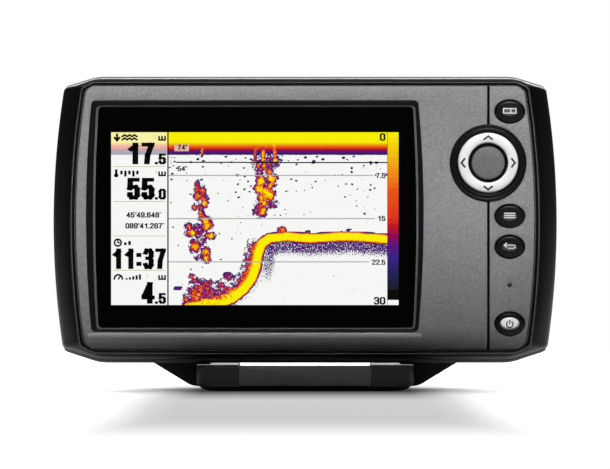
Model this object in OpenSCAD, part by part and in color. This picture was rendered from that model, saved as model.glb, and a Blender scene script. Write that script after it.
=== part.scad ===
// Fish finder: a console-top sonar display that tilts in a gimbal bracket.
// Millimetres. +Z is up, the screen faces -Y and +X is the viewer's right. The origin lies on the
// floor under the middle of the object's box. Depths are counted from the foremost plane backwards.

/* [Head] */
// Widest width of the head, at mid height
head_w = 188.6; // [186:0.1:192]
// Height of the head's lower edge above the floor
head_bottom = 11.1; // [11:0.1:12]
// Height of the head's top edge above the floor
head_top = 118.3; // [118:0.1:120]
// Radius of the bow of the head's sides, seen from the front
side_radius = 320; // [300:1:360]
// Depth at which the front and rear housings meet
front_d = 15; // [15:0.1:15.5]
// Depth of the back wall of the rear housing
head_d = 46; // [45:0.1:48]
// Wall of the rear housing
wall = 2.5; // [2:0.1:3]
// Half width of the rear housing's box, between the bracket's arms
rear_half_w = 61; // [60:0.1:61]

/* [Face] */
// Depth of the flat front of the grey face
face_d = 1.6; // [1.4:0.1:1.8]
// Thickness of the grey face
plate_t = 2; // [1.8:0.1:2.2]
// Half width of the grey face at mid height
plate_half_w = 86; // [85:0.1:86.4]
// Height of the grey face's top edge
plate_top = 114.7; // [114:0.1:115]
// Height of the grey face's lower edge
plate_bottom = 15.7; // [15.5:0.1:16]
// Height at which the grey face starts to roll back
roll_z = 24.5; // [24:0.1:25]
// Radius of that roll
roll_r = 10; // [9.5:0.1:11]
// Position across of the seam between the faceplate and the keypad panel
seam_x = 68.7; // [68:0.1:69]
// Width of that seam
seam_w = 0.9; // [0.6:0.1:1.2]

/* [Display] */
// Centre of the lit screen across
screen_x = -19; // [-20:0.1:-18]
// Centre height of the lit screen
screen_z = 65; // [64:0.1:66]
// Width of the lit screen of a 5 inch panel
screen_w = 108; // [107:0.1:109]
// Height of the lit screen
screen_h = 64.8; // [64:0.1:66]
// Width of the cover glass
glass_w = 120.4; // [120:0.1:121]
// Height of the cover glass
glass_h = 82.9; // [82:0.1:83.5]
// Width of the black trim round the glass
trim_w = 126.5; // [126:0.1:127]
// Height of the black trim round the glass
trim_h = 86.8; // [86.4:0.1:87]
// Radius of the bow of the trim's and the glass's sides
trim_bow = 460; // [420:1:520]

/* [Controls] */
// Centre of the four-way ring across
ring_x = 68.6; // [68.2:0.1:69]
// Centre height of the four-way ring
ring_z = 85.9; // [85.5:0.1:86.2]
// Outer radius of the four-way ring
ring_r = 11.3; // [11:0.1:11.4]
// Inner radius of the four-way ring
ring_bore_r = 7.4; // [7.3:0.1:7.6]
// Radius of the black surround of the four-way ring
surround_r = 14.45; // [14:0.05:14.8]
// Radius of the hub cap
hub_r = 6.2; // [6:0.1:6.3]
// Position across of the oval buttons
key_x = 76.7; // [76.4:0.1:77]
// Half width of the oval button holes
key_a = 5.8; // [5.6:0.1:6]
// Half height of the oval button holes
key_b = 4.57; // [4.4:0.01:4.6]
// Heights of the view, menu, exit and power buttons
key_zs = [105.1, 65.9, 54.4, 25.6];
// Height of the light sensor's window
sensor_z = 40; // [36:0.1:44]
// Travel of the buttons
key_travel = 1; // [0.6:0.1:1]

/* [Bracket] */
// Height of the tilt axis
pivot_z = 64; // [62:0.1:66]
// Depth of the tilt axis
pivot_d = 33.5; // [33:0.1:34]
// Distance of the arms' inner faces from the middle
arm_x = 64; // [64:0.1:65]
// Thickness of the arms
arm_t = 5; // [4:0.1:6]
// Radius of the round ends of the arms
ear_r = 12; // [11:0.1:12.5]
// Radius of the clamp studs
stud_r = 3; // [2.8:0.1:3]
// Radius of the clamp knobs
knob_r = 14; // [12:0.1:14.5]
// Width of the base block
base_w = 82; // [80:0.1:84]
// Depth of the base's front face
base_front = 10; // [10:0.1:12]
// Depth of the base's rear face
base_rear = 74; // [72:0.1:78]
// Height of the blocks at the arms' roots
root_top = 9.9; // [9.6:0.1:9.9]
// Thickness of the rubber pad under the base
pad_t = 1.5; // [1.2:0.1:2]
// Radius of the mounting screw holes
hole_r = 2.3; // [2:0.1:2.6]
// Spacing of the mounting screw holes, both ways
hole_pitch = 38; // [34:0.5:38]

/* [Hidden] */
$fn = 64;

half_w = head_w / 2;
front_y = -base_rear / 2;
side_z = 63.5;
axis_x = half_w - side_radius;
fit = 0.05;
key_gap = 0.35;
oval_sides = 60;

// Face and display
rim_inset = 0.9;
recess_d = face_d + plate_t + 0.2;
front_wall_d = 5.8;
roll_end = asin((roll_z - plate_bottom) / roll_r);
roll_steps = 12;
trim_z = 65.9;
glass_x = -18.5;
glass_z = 65.45;
glass_front = 2.4;
lcd_w = 118;
lcd_h = 74;
lcd_front = recess_d + 0.6;
lcd_back = lcd_front + 3;

// Inside of the front housing
cavity_half_w = 83;
cavity_top = 113;
cavity_bottom = 19;
keypad_left = 70.6;
keypad_right = 82.9;
mat_front = 6.8;
mat_t = 0.8;
dome_t = 0.7;
dome_r = 3;
keyboard_front = 9.3;
keyboard_t = 1.2;
stem_r = 2;
stem_back = keyboard_front - dome_t - key_travel - 0.3;
actuator_r = 9.35;

// Four-way ring, counted in depth
ring_back = 2.6;
rock_d = 4;
pivot_ring_r = 10.2;
trunnion_r = 0.35;
lug_r = 10.5;
cup_floor = 5.4;
cup_back = 6.2;
cup_r = 12.6;

// Inside of the rear housing
flange_back = front_d + 2.5;
rear_bottom = 27;
rear_top = 108;
rear_draft = 4;
board_d = 20;
board_t = 1.6;
board_half_w = 54;
board_bottom = 34;
board_top = 101;
board_screw_x = 48;
board_screw_zs = [39, 96];
socket_x = 20;
socket_z = 46;
socket_r = 9;
socket_bore_r = 7;
socket_back = 52;
pin_r = 0.8;
pin_ring_r = 3.2;
seal_w = 1.2;
seal_d = 0.8;
screw_r = 1.4;
screw_head_r = 2.7;
housing_screw_spots = [[87.5, 30], [87.5, 97], [28, 111], [28, 21]];

// Bracket
boss_x = arm_x - 1.5;
washer_x = boss_x + 0.3;
knob_x = arm_x + arm_t + 0.3;
knob_hub_t = 2.4;
knob_t = 11.5;
insert_x = 54;
insert_r = 4.5;
arm_front = 24;
arm_rear = 62;
flare_x = 43;
flare_z = 3;
flare_run = 1.65;
flare_top = flare_z + (arm_x + arm_t - flare_x) / flare_run;
flare_lift = arm_t * sqrt(1 + 1 / (flare_run * flare_run));
base_corner_r = 8;
cover_half_w = 24.6;
block_x = 25;
tray_top = 4;
hole_d = (base_front + base_rear) / 2 + 2;

// ---- Placing: flat outlines into the object's frame ----

// Outline in X and Z, between two depths
module slab(d0, d1) {
    translate([0, front_y + d1, 0])
        rotate([90, 0, 0])
            linear_extrude(d1 - d0)
                children();
}

// Outline in depth and Z, between two X positions
module bar(x0, x1) {
    translate([x0, front_y, 0])
        rotate([90, 0, 90])
            linear_extrude(x1 - x0)
                children();
}

// Outline in X and depth, between two heights
module tier(z0, z1) {
    translate([0, front_y, z0])
        linear_extrude(z1 - z0)
            children();
}

// Round bar along Y
module y_rod(x, z, d0, d1, r) {
    translate([x, front_y + d1, z])
        rotate([90, 0, 0])
            cylinder(r = r, h = d1 - d0);
}

// Round bar along X at the tilt axis; side is 1 for the right and -1 for the left
module pivot_rod(side, x0, x1, r) {
    translate([side * (side > 0 ? x0 : x1), front_y + pivot_d, pivot_z])
        rotate([0, 90, 0])
            cylinder(r = r, h = x1 - x0);
}

// Block between two corners given as X, depth and Z
module block(low, high) {
    translate([low[0], front_y + low[1], low[2]])
        cube([high[0] - low[0], high[1] - low[1], high[2] - low[2]]);
}

// Turned piece whose axis runs in depth; points are radius and depth
module turned(x, z, points) {
    translate([x, front_y, z])
        rotate([-90, 0, 0])
            rotate_extrude($fn = 96)
                polygon(points);
}

// Oval bar along Y at the buttons' column
module oval(z, d0, d1, a, b) {
    slab(d0, d1)
        translate([key_x, z])
            polygon([for (i = [0:oval_sides - 1])
                let (t = 360 * i / oval_sides)
                    [a * cos(t), b * sin(t)]]);
}

// ---- Outlines ----

function mirrored(points) = concat(points,
    [for (i = [len(points) - 1:-1:0]) [-points[i][0], points[i][1]]]);

// Rectangle with round corners, centred across
module rounded(half, z0, z1, r) {
    translate([-half + r, z0])
        square([2 * half - 2 * r, z1 - z0]);
    translate([-half, z0 + r])
        square([2 * half, z1 - z0 - 2 * r]);
    for (x = [-half + r, half - r], z = [z0 + r, z1 - r])
        translate([x, z])
            circle(r = r, $fn = 32);
}

// Straight edges and sloped corners of the head; the bowed sides come from bowed()
module head_edges(inset) {
    top = head_top - inset;
    bottom = head_bottom + inset;
    polygon(mirrored([[half_w - 16.5, bottom], [half_w - 4, bottom + 4.7], [half_w + 3, 26],
        [half_w + 3, 104], [half_w - 4.3, top - 3.9], [half_w - 15.3, top]]));
}

// Body between the bowed sides; points are half width at mid height and depth
module bowed(points) {
    first = points[0][1];
    last = points[len(points) - 1][1];
    radii = [for (p = points) [p[0] - axis_x, p[1]]];
    intersection() {
        for_side(1, concat([[0, first]], radii, [[0, last]]));
        for_side(-1, concat([[0, first]], radii, [[0, last]]));
    }
}

module for_side(side, points) {
    mirror([side > 0 ? 0 : 1, 0, 0])
        translate([axis_x, front_y, side_z])
            rotate([-90, 0, 0])
                rotate_extrude($fn = 360)
                    polygon(points);
}

// The grey face's outline, smaller all round by an inset
module plate_outline(inset = 0) {
    half = plate_half_w - inset;
    intersection() {
        translate([axis_x, side_z])
            circle(r = half - axis_x, $fn = 360);
        translate([-axis_x, side_z])
            circle(r = half - axis_x, $fn = 360);
        polygon(mirrored([[half - 6, plate_bottom + inset], [half - 3, plate_bottom + inset + 2.8],
            [half, plate_bottom + 12], [half, plate_top - 12],
            [half - 3.4, plate_top - inset - 1.8], [half - 6, plate_top - inset]]));
    }
}

// Rectangle whose left and right edges bow outwards
module window(x, z, w, h, bow) {
    intersection() {
        translate([x - w / 2, z - h / 2])
            square([w, h]);
        translate([x + w / 2 - bow, z])
            circle(r = bow, $fn = 360);
        translate([x - w / 2 + bow, z])
            circle(r = bow, $fn = 360);
    }
}

// Path down the grey face at an offset behind it: straight, then rolled back
function face_path(offset, top) = concat([[face_d + offset, top]],
    [for (i = [0:roll_steps]) face_point(offset, roll_end * i / roll_steps)]);

// Point of the roll at an angle down from the flat face, at an offset behind it
function face_point(offset, a) =
    [face_d + roll_r - (roll_r - offset) * cos(a), roll_z - (roll_r - offset) * sin(a)];

function reversed(points) = [for (i = [len(points) - 1:-1:0]) points[i]];

// ---- Bracket ----

module arm_section() {
    top_z = pivot_z + ear_r + 1;
    inner_z = flare_z + (arm_x - flare_x) / flare_run + flare_lift;
    root_x = flare_x + (root_top - flare_lift - flare_z) * flare_run;
    polygon([[base_w / 2 - 8, pad_t], [base_w / 2 - 1, pad_t], [flare_x, flare_z],
        [arm_x + arm_t, flare_top], [arm_x + arm_t, top_z], [arm_x, top_z], [arm_x, inner_z],
        [root_x, root_top], [base_w / 2 - 8, root_top]]);
}

module arm_side() {
    polygon([[arm_front, pad_t], [arm_rear, pad_t], [arm_rear, 16],
        [pivot_d + ear_r - 0.4, pivot_z - 3], [pivot_d - ear_r + 0.4, pivot_z - 3],
        [arm_front, 24]]);
    translate([pivot_d, pivot_z])
        circle(r = ear_r);
}

module base_plan(inset) {
    half = base_w / 2 - inset;
    translate([0, base_front + inset])
        rounded_plan(half, base_rear - base_front - 2 * inset);
}

module rounded_plan(half, depth) {
    r = base_corner_r;
    translate([-half + r, 0])
        square([2 * half - 2 * r, depth]);
    translate([-half, r])
        square([2 * half, depth - 2 * r]);
    for (x = [-half + r, half - r], d = [r, depth - r])
        translate([x, d])
            circle(r = r);
}

module mount_holes(z0, z1) {
    for (x = [-hole_pitch / 2, hole_pitch / 2], d = [-hole_pitch / 2, hole_pitch / 2])
        translate([x, front_y + hole_d + d, z0])
            cylinder(r = hole_r, h = z1 - z0);
}

module gimbal_bracket() {
    color("#202224")
    difference() {
        union() {
            tier(pad_t, root_top)
                base_plan(0);
            for (side = [0, 1])
                mirror([side, 0, 0])
                    intersection() {
                        slab(arm_front, arm_rear)
                            arm_section();
                        bar(0, half_w)
                            arm_side();
                    }
        }
        block([-block_x, base_front - 1, tray_top], [block_x, base_rear + 1, root_top + 1]);
        block([-block_x, base_front - 1, pad_t - 1], [block_x, base_front + 3, root_top + 1]);
        mount_holes(pad_t - 1, tray_top + 1);
        for (side = [1, -1])
            pivot_rod(side, arm_x - 1, arm_x + arm_t + 1, stud_r + 2 * fit);
    }
}

module base_pad() {
    color("#141414")
    difference() {
        tier(0, pad_t)
            base_plan(2);
        mount_holes(-1, pad_t + 1);
    }
}

module base_front_cover() {
    color("#3a3d40")
    block([-cover_half_w, base_front + 0.9, pad_t + 0.3], [cover_half_w, base_front + 2.9, 9.75]);
}

module ear_washer(side) {
    color("#555555")
    difference() {
        pivot_rod(side, washer_x, arm_x, 9);
        pivot_rod(side, washer_x - 1, arm_x + 1, stud_r + 0.4);
    }
}

module left_ear_washer() {
    ear_washer(-1);
}

module right_ear_washer() {
    ear_washer(1);
}

// ---- Head shells ----

module housing_screw_places() {
    for (spot = housing_screw_spots, side = [1, -1])
        translate([side * spot[0], 0, spot[1]])
            children();
}

module seal_ring() {
    difference() {
        rounded(cavity_half_w + 1 + seal_w, 16.4, 115.8, 6);
        rounded(cavity_half_w + 1, 16.4 + seal_w, 115.8 - seal_w, 6 - seal_w);
    }
}

module front_housing() {
    rim = concat(face_path(0.4, plate_top + 1.5),
        [[7.4, 14.4], [8.6, 13.2], [front_d, 12.2], [front_d, 117.4], [6, 117.4], [2.8, 117]]);
    color("#17181a")
    difference() {
        intersection() {
            slab(0, front_d)
                head_edges(rim_inset);
            bowed([[half_w - 6.7, face_d - 0.1], [half_w - 5.6, face_d + 1], [half_w - 0.9, 9],
                [half_w, 12.5], [half_w, front_d]]);
            bar(-half_w, half_w)
                polygon(rim);
        }
        intersection() {
            slab(0, front_d)
                plate_outline(-0.2);
            bar(-half_w, half_w)
                polygon(concat(face_path(plate_t + 0.2, plate_top + 4),
                    [face_point(-1, roll_end + 3), [-1, plate_bottom - 1], [-1, plate_top + 4]]));
        }
        slab(front_wall_d, front_d + 1)
            difference() {
                translate([-cavity_half_w, 26])
                    square([2 * cavity_half_w, cavity_top - 26]);
                for (side = [1, -1])
                    translate([side * 28, 111])
                        circle(r = 3.4);
            }
        slab(7.6, front_d + 1)
            difference() {
                translate([-cavity_half_w, cavity_bottom])
                    square([2 * cavity_half_w, 8]);
                for (side = [1, -1])
                    translate([side * 28, 21])
                        circle(r = 3.4);
            }
        slab(0, front_d)
            translate([screen_x - lcd_w / 2 - 0.2, screen_z - lcd_h / 2 - 0.2])
                square([lcd_w + 0.4, lcd_h + 0.4]);
        slab(0, front_d)
            translate([keypad_left - 0.5, 21])
                square([keypad_right - keypad_left + 0.9, 91]);
        y_rod(ring_x, ring_z, 0, front_d, cup_r + 0.2);
        slab(front_d - seal_d, front_d + 1)
            seal_ring();
        housing_screw_places()
            y_rod(0, 0, 8.6, front_d + 1, screw_r + fit);
    }
}

module rear_shell(inset) {
    r = 9 - inset;
    hull() {
        slab(flange_back - 0.6, flange_back)
            rounded(rear_half_w - inset, rear_bottom + inset, rear_top - inset, r);
        slab(head_d - inset - 0.5, head_d - inset)
            rounded(rear_half_w - rear_draft - inset, rear_bottom + rear_draft + inset,
                rear_top - rear_draft - inset, r);
    }
}

module rear_housing() {
    edge = [[front_d, head_top - rim_inset], [front_d + 1, head_top], [flange_back, head_top],
        [flange_back, head_bottom], [front_d + 1, head_bottom], [front_d, head_bottom + rim_inset]];
    color("#1c1d1f")
    difference() {
        union() {
            intersection() {
                slab(front_d, flange_back)
                    head_edges(0);
                bowed([[half_w - 0.3, front_d], [half_w - 1.2, flange_back]]);
                bar(-half_w, half_w)
                    polygon(edge);
            }
            rear_shell(0);
            for (side = [1, -1])
                pivot_rod(side, rear_half_w - 6, boss_x, 10);
        }
        difference() {
            union() {
                rear_shell(wall);
                slab(front_d - 1, flange_back)
                    rounded(rear_half_w - wall, rear_bottom + wall, rear_top - wall, 6);
            }
            for (side = [1, -1])
                pivot_rod(side, insert_x - 2, boss_x, 7.5);
            for (x = [-board_screw_x, board_screw_x], z = board_screw_zs)
                y_rod(x, z, board_d + board_t, head_d, 3.2);
        }
        for (side = [1, -1])
            pivot_rod(side, insert_x, boss_x + 1, insert_r);
        for (x = [-board_screw_x, board_screw_x], z = board_screw_zs)
            y_rod(x, z, board_d, board_d + 9, 1.25 + fit);
        for (x = [-socket_x, socket_x])
            y_rod(x, socket_z, head_d - wall - 8, head_d + 1, socket_r);
        y_rod(0, 92, head_d - wall - 1, head_d + 1, 3);
        housing_screw_places()
            y_rod(0, 0, front_d - 1, flange_back + 1, screw_r + 0.2);
    }
}

module face_blank() {
    intersection() {
        slab(0, front_d)
            plate_outline();
        bar(-half_w, half_w)
            polygon(concat(face_path(0, plate_top), reversed(face_path(plate_t, plate_top))));
    }
}

module faceplate() {
    color("#8c8e90")
    difference() {
        face_blank();
        block([seam_x - seam_w / 2, -1, 0], [half_w, front_d, head_top]);
        slab(0, front_d)
            window(screen_x, trim_z, trim_w, trim_h, trim_bow);
        y_rod(ring_x, ring_z, 0, front_d, cup_r + fit);
    }
}

module keypad_panel() {
    color("#86888a")
    difference() {
        face_blank();
        block([-half_w, -1, 0], [seam_x + seam_w / 2, front_d, head_top]);
        y_rod(ring_x, ring_z, 0, front_d, cup_r + fit);
        for (z = key_zs)
            oval(z, 0, front_d, key_a, key_b);
        y_rod(key_x, sensor_z, 0, front_d, 0.85);
    }
}

// ---- Display ----

module glass_trim() {
    color("#101113")
    slab(face_d - 0.3, recess_d)
        difference() {
            window(screen_x, trim_z, trim_w, trim_h, trim_bow);
            window(glass_x, glass_z, glass_w, glass_h, trim_bow * 1.5);
        }
}

module display_glass() {
    color("#050505")
    slab(glass_front, recess_d)
        window(glass_x, glass_z, glass_w, glass_h, trim_bow * 1.5);
}

module lcd_frame_2d(w, h) {
    translate([screen_x - w / 2, screen_z - h / 2])
        square([w, h]);
}

module lcd_gasket() {
    color("#222222")
    slab(recess_d, lcd_front)
        difference() {
            lcd_frame_2d(lcd_w, lcd_h);
            lcd_frame_2d(screen_w + 1.6, screen_h + 1.6);
        }
}

module lcd_panel() {
    color("#f4f4f0")
    slab(lcd_front, lcd_back)
        lcd_frame_2d(lcd_w, lcd_h);
}

module backlight_tray() {
    color("#b8bcc0")
    difference() {
        union() {
            slab(lcd_back, lcd_back + 2)
                lcd_frame_2d(lcd_w + 4, lcd_h + 4);
            for (x = [-lcd_w / 2 - 4, lcd_w / 2])
                slab(lcd_back, lcd_back + 1)
                    translate([screen_x + x, screen_z + 18])
                        square([4, 12]);
        }
        slab(lcd_back - 1, lcd_back + 1)
            lcd_frame_2d(lcd_w - 6, lcd_h - 6);
    }
}

// ---- Electronics ----

module main_board() {
    color("#1f5a36")
    difference() {
        slab(board_d, board_d + board_t)
            rounded(board_half_w, board_bottom, board_top, 3);
        for (x = [-board_screw_x, board_screw_x], z = board_screw_zs)
            y_rod(x, z, board_d - 1, board_d + board_t + 1, 1.5);
    }
}

module board_shield() {
    color("#c0c4c8")
    difference() {
        block([-30, board_d - 4, 56], [14, board_d, 88]);
        block([-29.4, board_d - 3.4, 56.6], [13.4, board_d + 1, 87.4]);
    }
}

module heat_sink() {
    color("#a8acb0")
    union() {
        block([-44, board_d + board_t, 62], [-12, board_d + board_t + 2, 94]);
        for (i = [0:6])
            block([-43.5 + i * 5, board_d + board_t + 2, 62], [-42 + i * 5, board_d + board_t + 12, 94]);
    }
}

module sonar_transformer() {
    z = 78;
    x = 32;
    back = board_d + board_t;
    color("#3a3a30")
    union() {
        block([x - 9, back, z - 11], [x + 9, back + 3, z + 11]);
        y_rod(x, z, back + 3, back + 13, 7.5);
        block([x - 9, back + 13, z - 11], [x + 9, back + 16, z + 11]);
    }
}

module power_capacitors() {
    color("#283a6a")
    for (x = [4, 16, 28])
        y_rod(x, 58, board_d + board_t, board_d + board_t + 13, 5);
}

module gps_antenna() {
    top = rear_top - wall - rear_draft;
    color("#d8d0b8")
    block([-9, board_d + 5, top - 4], [9, board_d + 21, top]);
}

module buzzer() {
    color("#181818")
    difference() {
        y_rod(-34, 50, board_d + board_t, board_d + board_t + 5, 7);
        y_rod(-34, 50, board_d + board_t + 4, board_d + board_t + 6, 1);
    }
}

module keypad_board() {
    color("#1f5a36")
    slab(keyboard_front, keyboard_front + keyboard_t)
        translate([56, 21.4])
            square([keypad_right - 56.4, 89]);
}

module switch_domes() {
    color("#d0d4d8")
    union() {
        for (z = key_zs)
            y_rod(key_x, z, keyboard_front - dome_t, keyboard_front, dome_r);
        for (a = [0:90:270])
            y_rod(ring_x + actuator_r * cos(a), ring_z + actuator_r * sin(a),
                keyboard_front - dome_t, keyboard_front, dome_r);
    }
}

module keypad_mat() {
    color("#303234")
    slab(mat_front, mat_front + mat_t)
        difference() {
            union() {
                translate([keypad_left, 21.4])
                    square([keypad_right - keypad_left - 0.3, 89]);
                translate([ring_x, ring_z])
                    circle(r = cup_r - 0.4);
            }
            for (z = key_zs)
                translate([key_x, z])
                    circle(r = stem_r + 0.6);
        }
}

module housing_seal() {
    color("#3c3c3c")
    slab(front_d - seal_d, front_d)
        seal_ring();
}

module housing_screws() {
    color("#b0b4b8")
    housing_screw_places()
        difference() {
            union() {
                y_rod(0, 0, 9, flange_back, screw_r);
                y_rod(0, 0, flange_back, flange_back + 1.7, screw_head_r);
            }
            translate([0, front_y + flange_back + 1.7, 0])
                rotate([90, 0, 0])
                    cylinder(r = 1.3, h = 1.1, $fn = 6);
        }
}

module board_screws() {
    color("#b0b4b8")
    for (x = [-board_screw_x, board_screw_x], z = board_screw_zs)
        union() {
            y_rod(x, z, board_d, board_d + 8, 1.25);
            y_rod(x, z, board_d - 1.6, board_d, 2.4);
        }
}

// ---- Connectors and small rear pieces ----

module socket(x, key_angle) {
    floor_d = head_d - wall - 5.5;
    color("#26282b")
    difference() {
        union() {
            turned(x, socket_z, [[0, floor_d], [socket_r, floor_d], [socket_r, socket_back],
                [socket_bore_r, socket_back], [socket_bore_r, floor_d + 2], [0, floor_d + 2]]);
            translate([x, 0, socket_z])
                rotate([0, key_angle, 0])
                    block([-1, floor_d + 1, socket_bore_r - 1.2], [1, socket_back - 1, socket_bore_r + 0.5]);
        }
        for (a = [0:120:240])
            y_rod(x + pin_ring_r * cos(a), socket_z + pin_ring_r * sin(a), floor_d - 1, head_d, pin_r);
    }
}

module socket_pins(x) {
    floor_d = head_d - wall - 5.5;
    color("#c8a850")
    for (a = [0:120:240])
        y_rod(x + pin_ring_r * cos(a), socket_z + pin_ring_r * sin(a), floor_d, head_d, pin_r);
}

module power_socket() {
    socket(-socket_x, 0);
}

module power_pins() {
    socket_pins(-socket_x);
}

module transducer_socket() {
    socket(socket_x, 180);
}

module transducer_pins() {
    socket_pins(socket_x);
}

module vent_plug() {
    color("#101010")
    difference() {
        union() {
            y_rod(0, 92, head_d - wall, head_d, 3);
            y_rod(0, 92, head_d, head_d + 1.2, 5);
        }
        y_rod(0, 92, head_d - wall - 1, head_d + 0.4, 1.2);
        for (a = [0:120:240])
            y_rod(3 * cos(a), 92 + 3 * sin(a), head_d + 0.4, head_d + 2, 0.5);
    }
}

module pivot_inserts() {
    color("#c8a850")
    for (side = [1, -1])
        difference() {
            pivot_rod(side, insert_x, boss_x, insert_r);
            pivot_rod(side, insert_x - 1, boss_x + 1, stud_r + fit);
        }
}

// ---- Controls ----

module cursor_surround() {
    color("#0e0f10")
    difference() {
        turned(ring_x, ring_z, [[0, cup_floor], [ring_r + 0.35, cup_floor], [ring_r + 0.35, 1.1],
            [ring_r + 0.9, 0.8], [surround_r - 0.9, 0.9], [surround_r, face_d], [cup_r, face_d],
            [cup_r, cup_back], [0, cup_back]]);
        for (a = [0:90:270])
            y_rod(ring_x + actuator_r * cos(a), ring_z + actuator_r * sin(a), cup_floor - 1,
                cup_back + 1, 1.2);
        ring_pins(90, cup_r - 0.3, trunnion_r + fit);
    }
}

module cursor_hub() {
    color("#606264")
    turned(ring_x, ring_z, [[0, 0.5], [hub_r - 1.4, 0.6], [hub_r - 0.3, 0.9], [hub_r, 1.3],
        [hub_r, cup_floor], [0, cup_floor]]);
}

module hub_collar() {
    color("#0c0c0c")
    turned(ring_x, ring_z, [[hub_r, 1.3], [hub_r + 0.8, 1.3], [hub_r + 0.8, cup_floor],
        [hub_r, cup_floor]]);
}

module sensor_window() {
    color("#080808")
    y_rod(key_x, sensor_z, face_d + 0.1, face_d + plate_t, 0.85);
}

// Oval button with a retaining flange and a stem that reaches for its dome switch
module button(z, front) {
    a = key_a - key_gap;
    b = key_b - key_gap;
    union() {
        oval(z, front, front + 0.6, a - 0.7, b - 0.7);
        oval(z, front + 0.3, 4.6, a, b);
        oval(z, 4.6, 5.4, a + 1, b);
        y_rod(key_x, z, 5.4, stem_back, stem_r);
    }
}

module view_button() {
    color("#0f1011")
    button(key_zs[0], 0.9);
}

module menu_button() {
    color("#0f1011")
    button(key_zs[1], 0.9);
}

module exit_button() {
    color("#0f1011")
    button(key_zs[2], 0.9);
}

module power_button() {
    color("#0f1011")
    difference() {
        button(key_zs[3], 0.9);
        oval(key_zs[3], 0, 1.7, 3.67, 2.36);
    }
}

module power_lens() {
    color("#d8dadc")
    oval(key_zs[3], 0.7, 1.7, 3.67, 2.36);
}

// Pair of round pins out of the four-way ring's middle: angle 0 is up and down, 90 left and right
module ring_pins(angle, reach, r) {
    translate([ring_x, front_y + rock_d, ring_z])
        rotate([0, angle, 0])
            for (side = [0, 180])
                rotate([side, 0, 0])
                    translate([0, 0, pivot_ring_r - 0.6])
                        cylinder(r = r, h = reach - pivot_ring_r + 0.6, $fn = 24);
}

// Silver ring with two lugs behind it that take the pivot ring's upper and lower pins
module cursor_ring() {
    mid = (ring_r + ring_bore_r) / 2;
    color("#d0d2d4")
    difference() {
        union() {
            turned(ring_x, ring_z, [[ring_bore_r, 0.9], [ring_bore_r + 0.3, 0.4], [mid - 0.5, 0],
                [mid + 0.5, 0], [ring_r - 0.3, 0.6], [ring_r, 1.1], [ring_r, ring_back],
                [ring_bore_r, ring_back]]);
            for (side = [0, 180])
                translate([ring_x, 0, ring_z])
                    rotate([0, side, 0])
                        block([-1, ring_back - 0.3, lug_r], [1, rock_d + 0.6, lug_r + 0.65]);
        }
        ring_pins(0, ring_r, trunnion_r + fit);
    }
}

// Ring whose side pins turn in the surround and whose upper and lower pins carry the silver ring
module cursor_pivot_ring() {
    color("#404244")
    union() {
        turned(ring_x, ring_z, [[8.2, rock_d - 0.4], [pivot_ring_r, rock_d - 0.4],
            [pivot_ring_r, rock_d + 0.4], [8.2, rock_d + 0.4]]);
        ring_pins(90, cup_r - 0.5, trunnion_r);
        ring_pins(0, lug_r + 0.6, trunnion_r);
    }
}

// ---- Clamp knobs ----

module knob(side) {
    grip = knob_x + knob_hub_t;
    face = grip + knob_t;
    flutes = 10;
    color("#1a1b1d")
    difference() {
        translate([0, front_y + pivot_d, pivot_z])
            rotate([0, side * 90, 0])
                rotate_extrude($fn = 96)
                    polygon([[0, knob_x], [8, knob_x], [8, grip], [knob_r - 1, grip],
                        [knob_r, grip + 1], [knob_r - 0.6, face - 1.5], [knob_r - 2.4, face],
                        [knob_r - 5, face - 0.8], [0, face - 0.8]]);
        for (i = [0:flutes - 1])
            rotate_about_pivot(i * 360 / flutes)
                translate([0, 0, knob_r + 1.2])
                    pivot_rod(side, grip - 1, face + 1, 2.4);
        pivot_rod(side, knob_x - 1, knob_x + 9, stud_r);
    }
}

module rotate_about_pivot(a) {
    translate([0, front_y + pivot_d, pivot_z])
        rotate([a, 0, 0])
            translate([0, -front_y - pivot_d, -pivot_z])
                children();
}

module left_knob() {
    knob(-1);
}

module right_knob() {
    knob(1);
}

module stud(side) {
    color("#b8bcc0")
    pivot_rod(side, insert_x + 1, knob_x + 9, stud_r);
}

module left_stud() {
    stud(-1);
}

module right_stud() {
    stud(1);
}

gimbal_bracket();
base_pad();
base_front_cover();
left_ear_washer();
right_ear_washer();
front_housing();
rear_housing();
faceplate();
keypad_panel();
glass_trim();
display_glass();
lcd_gasket();
lcd_panel();
backlight_tray();
main_board();
board_shield();
heat_sink();
sonar_transformer();
power_capacitors();
gps_antenna();
buzzer();
keypad_board();
switch_domes();
keypad_mat();
housing_seal();
housing_screws();
board_screws();
power_socket();
power_pins();
transducer_socket();
transducer_pins();
vent_plug();
pivot_inserts();
cursor_surround();
cursor_hub();
hub_collar();
sensor_window();
view_button();
menu_button();
exit_button();
power_button();
power_lens();
cursor_ring();
cursor_pivot_ring();
left_knob();
right_knob();
left_stud();
right_stud();
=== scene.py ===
"""Looks of a console-top fish finder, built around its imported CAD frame.

Outlines are in millimetres as (x, z), seen from the front. Depths are millimetres behind the
foremost plane of the four-way ring. place() turns both into the frame's metres.
"""

from math import asin, atan2, cos, dist, hypot, pi, radians, sin, sqrt, tan

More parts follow.
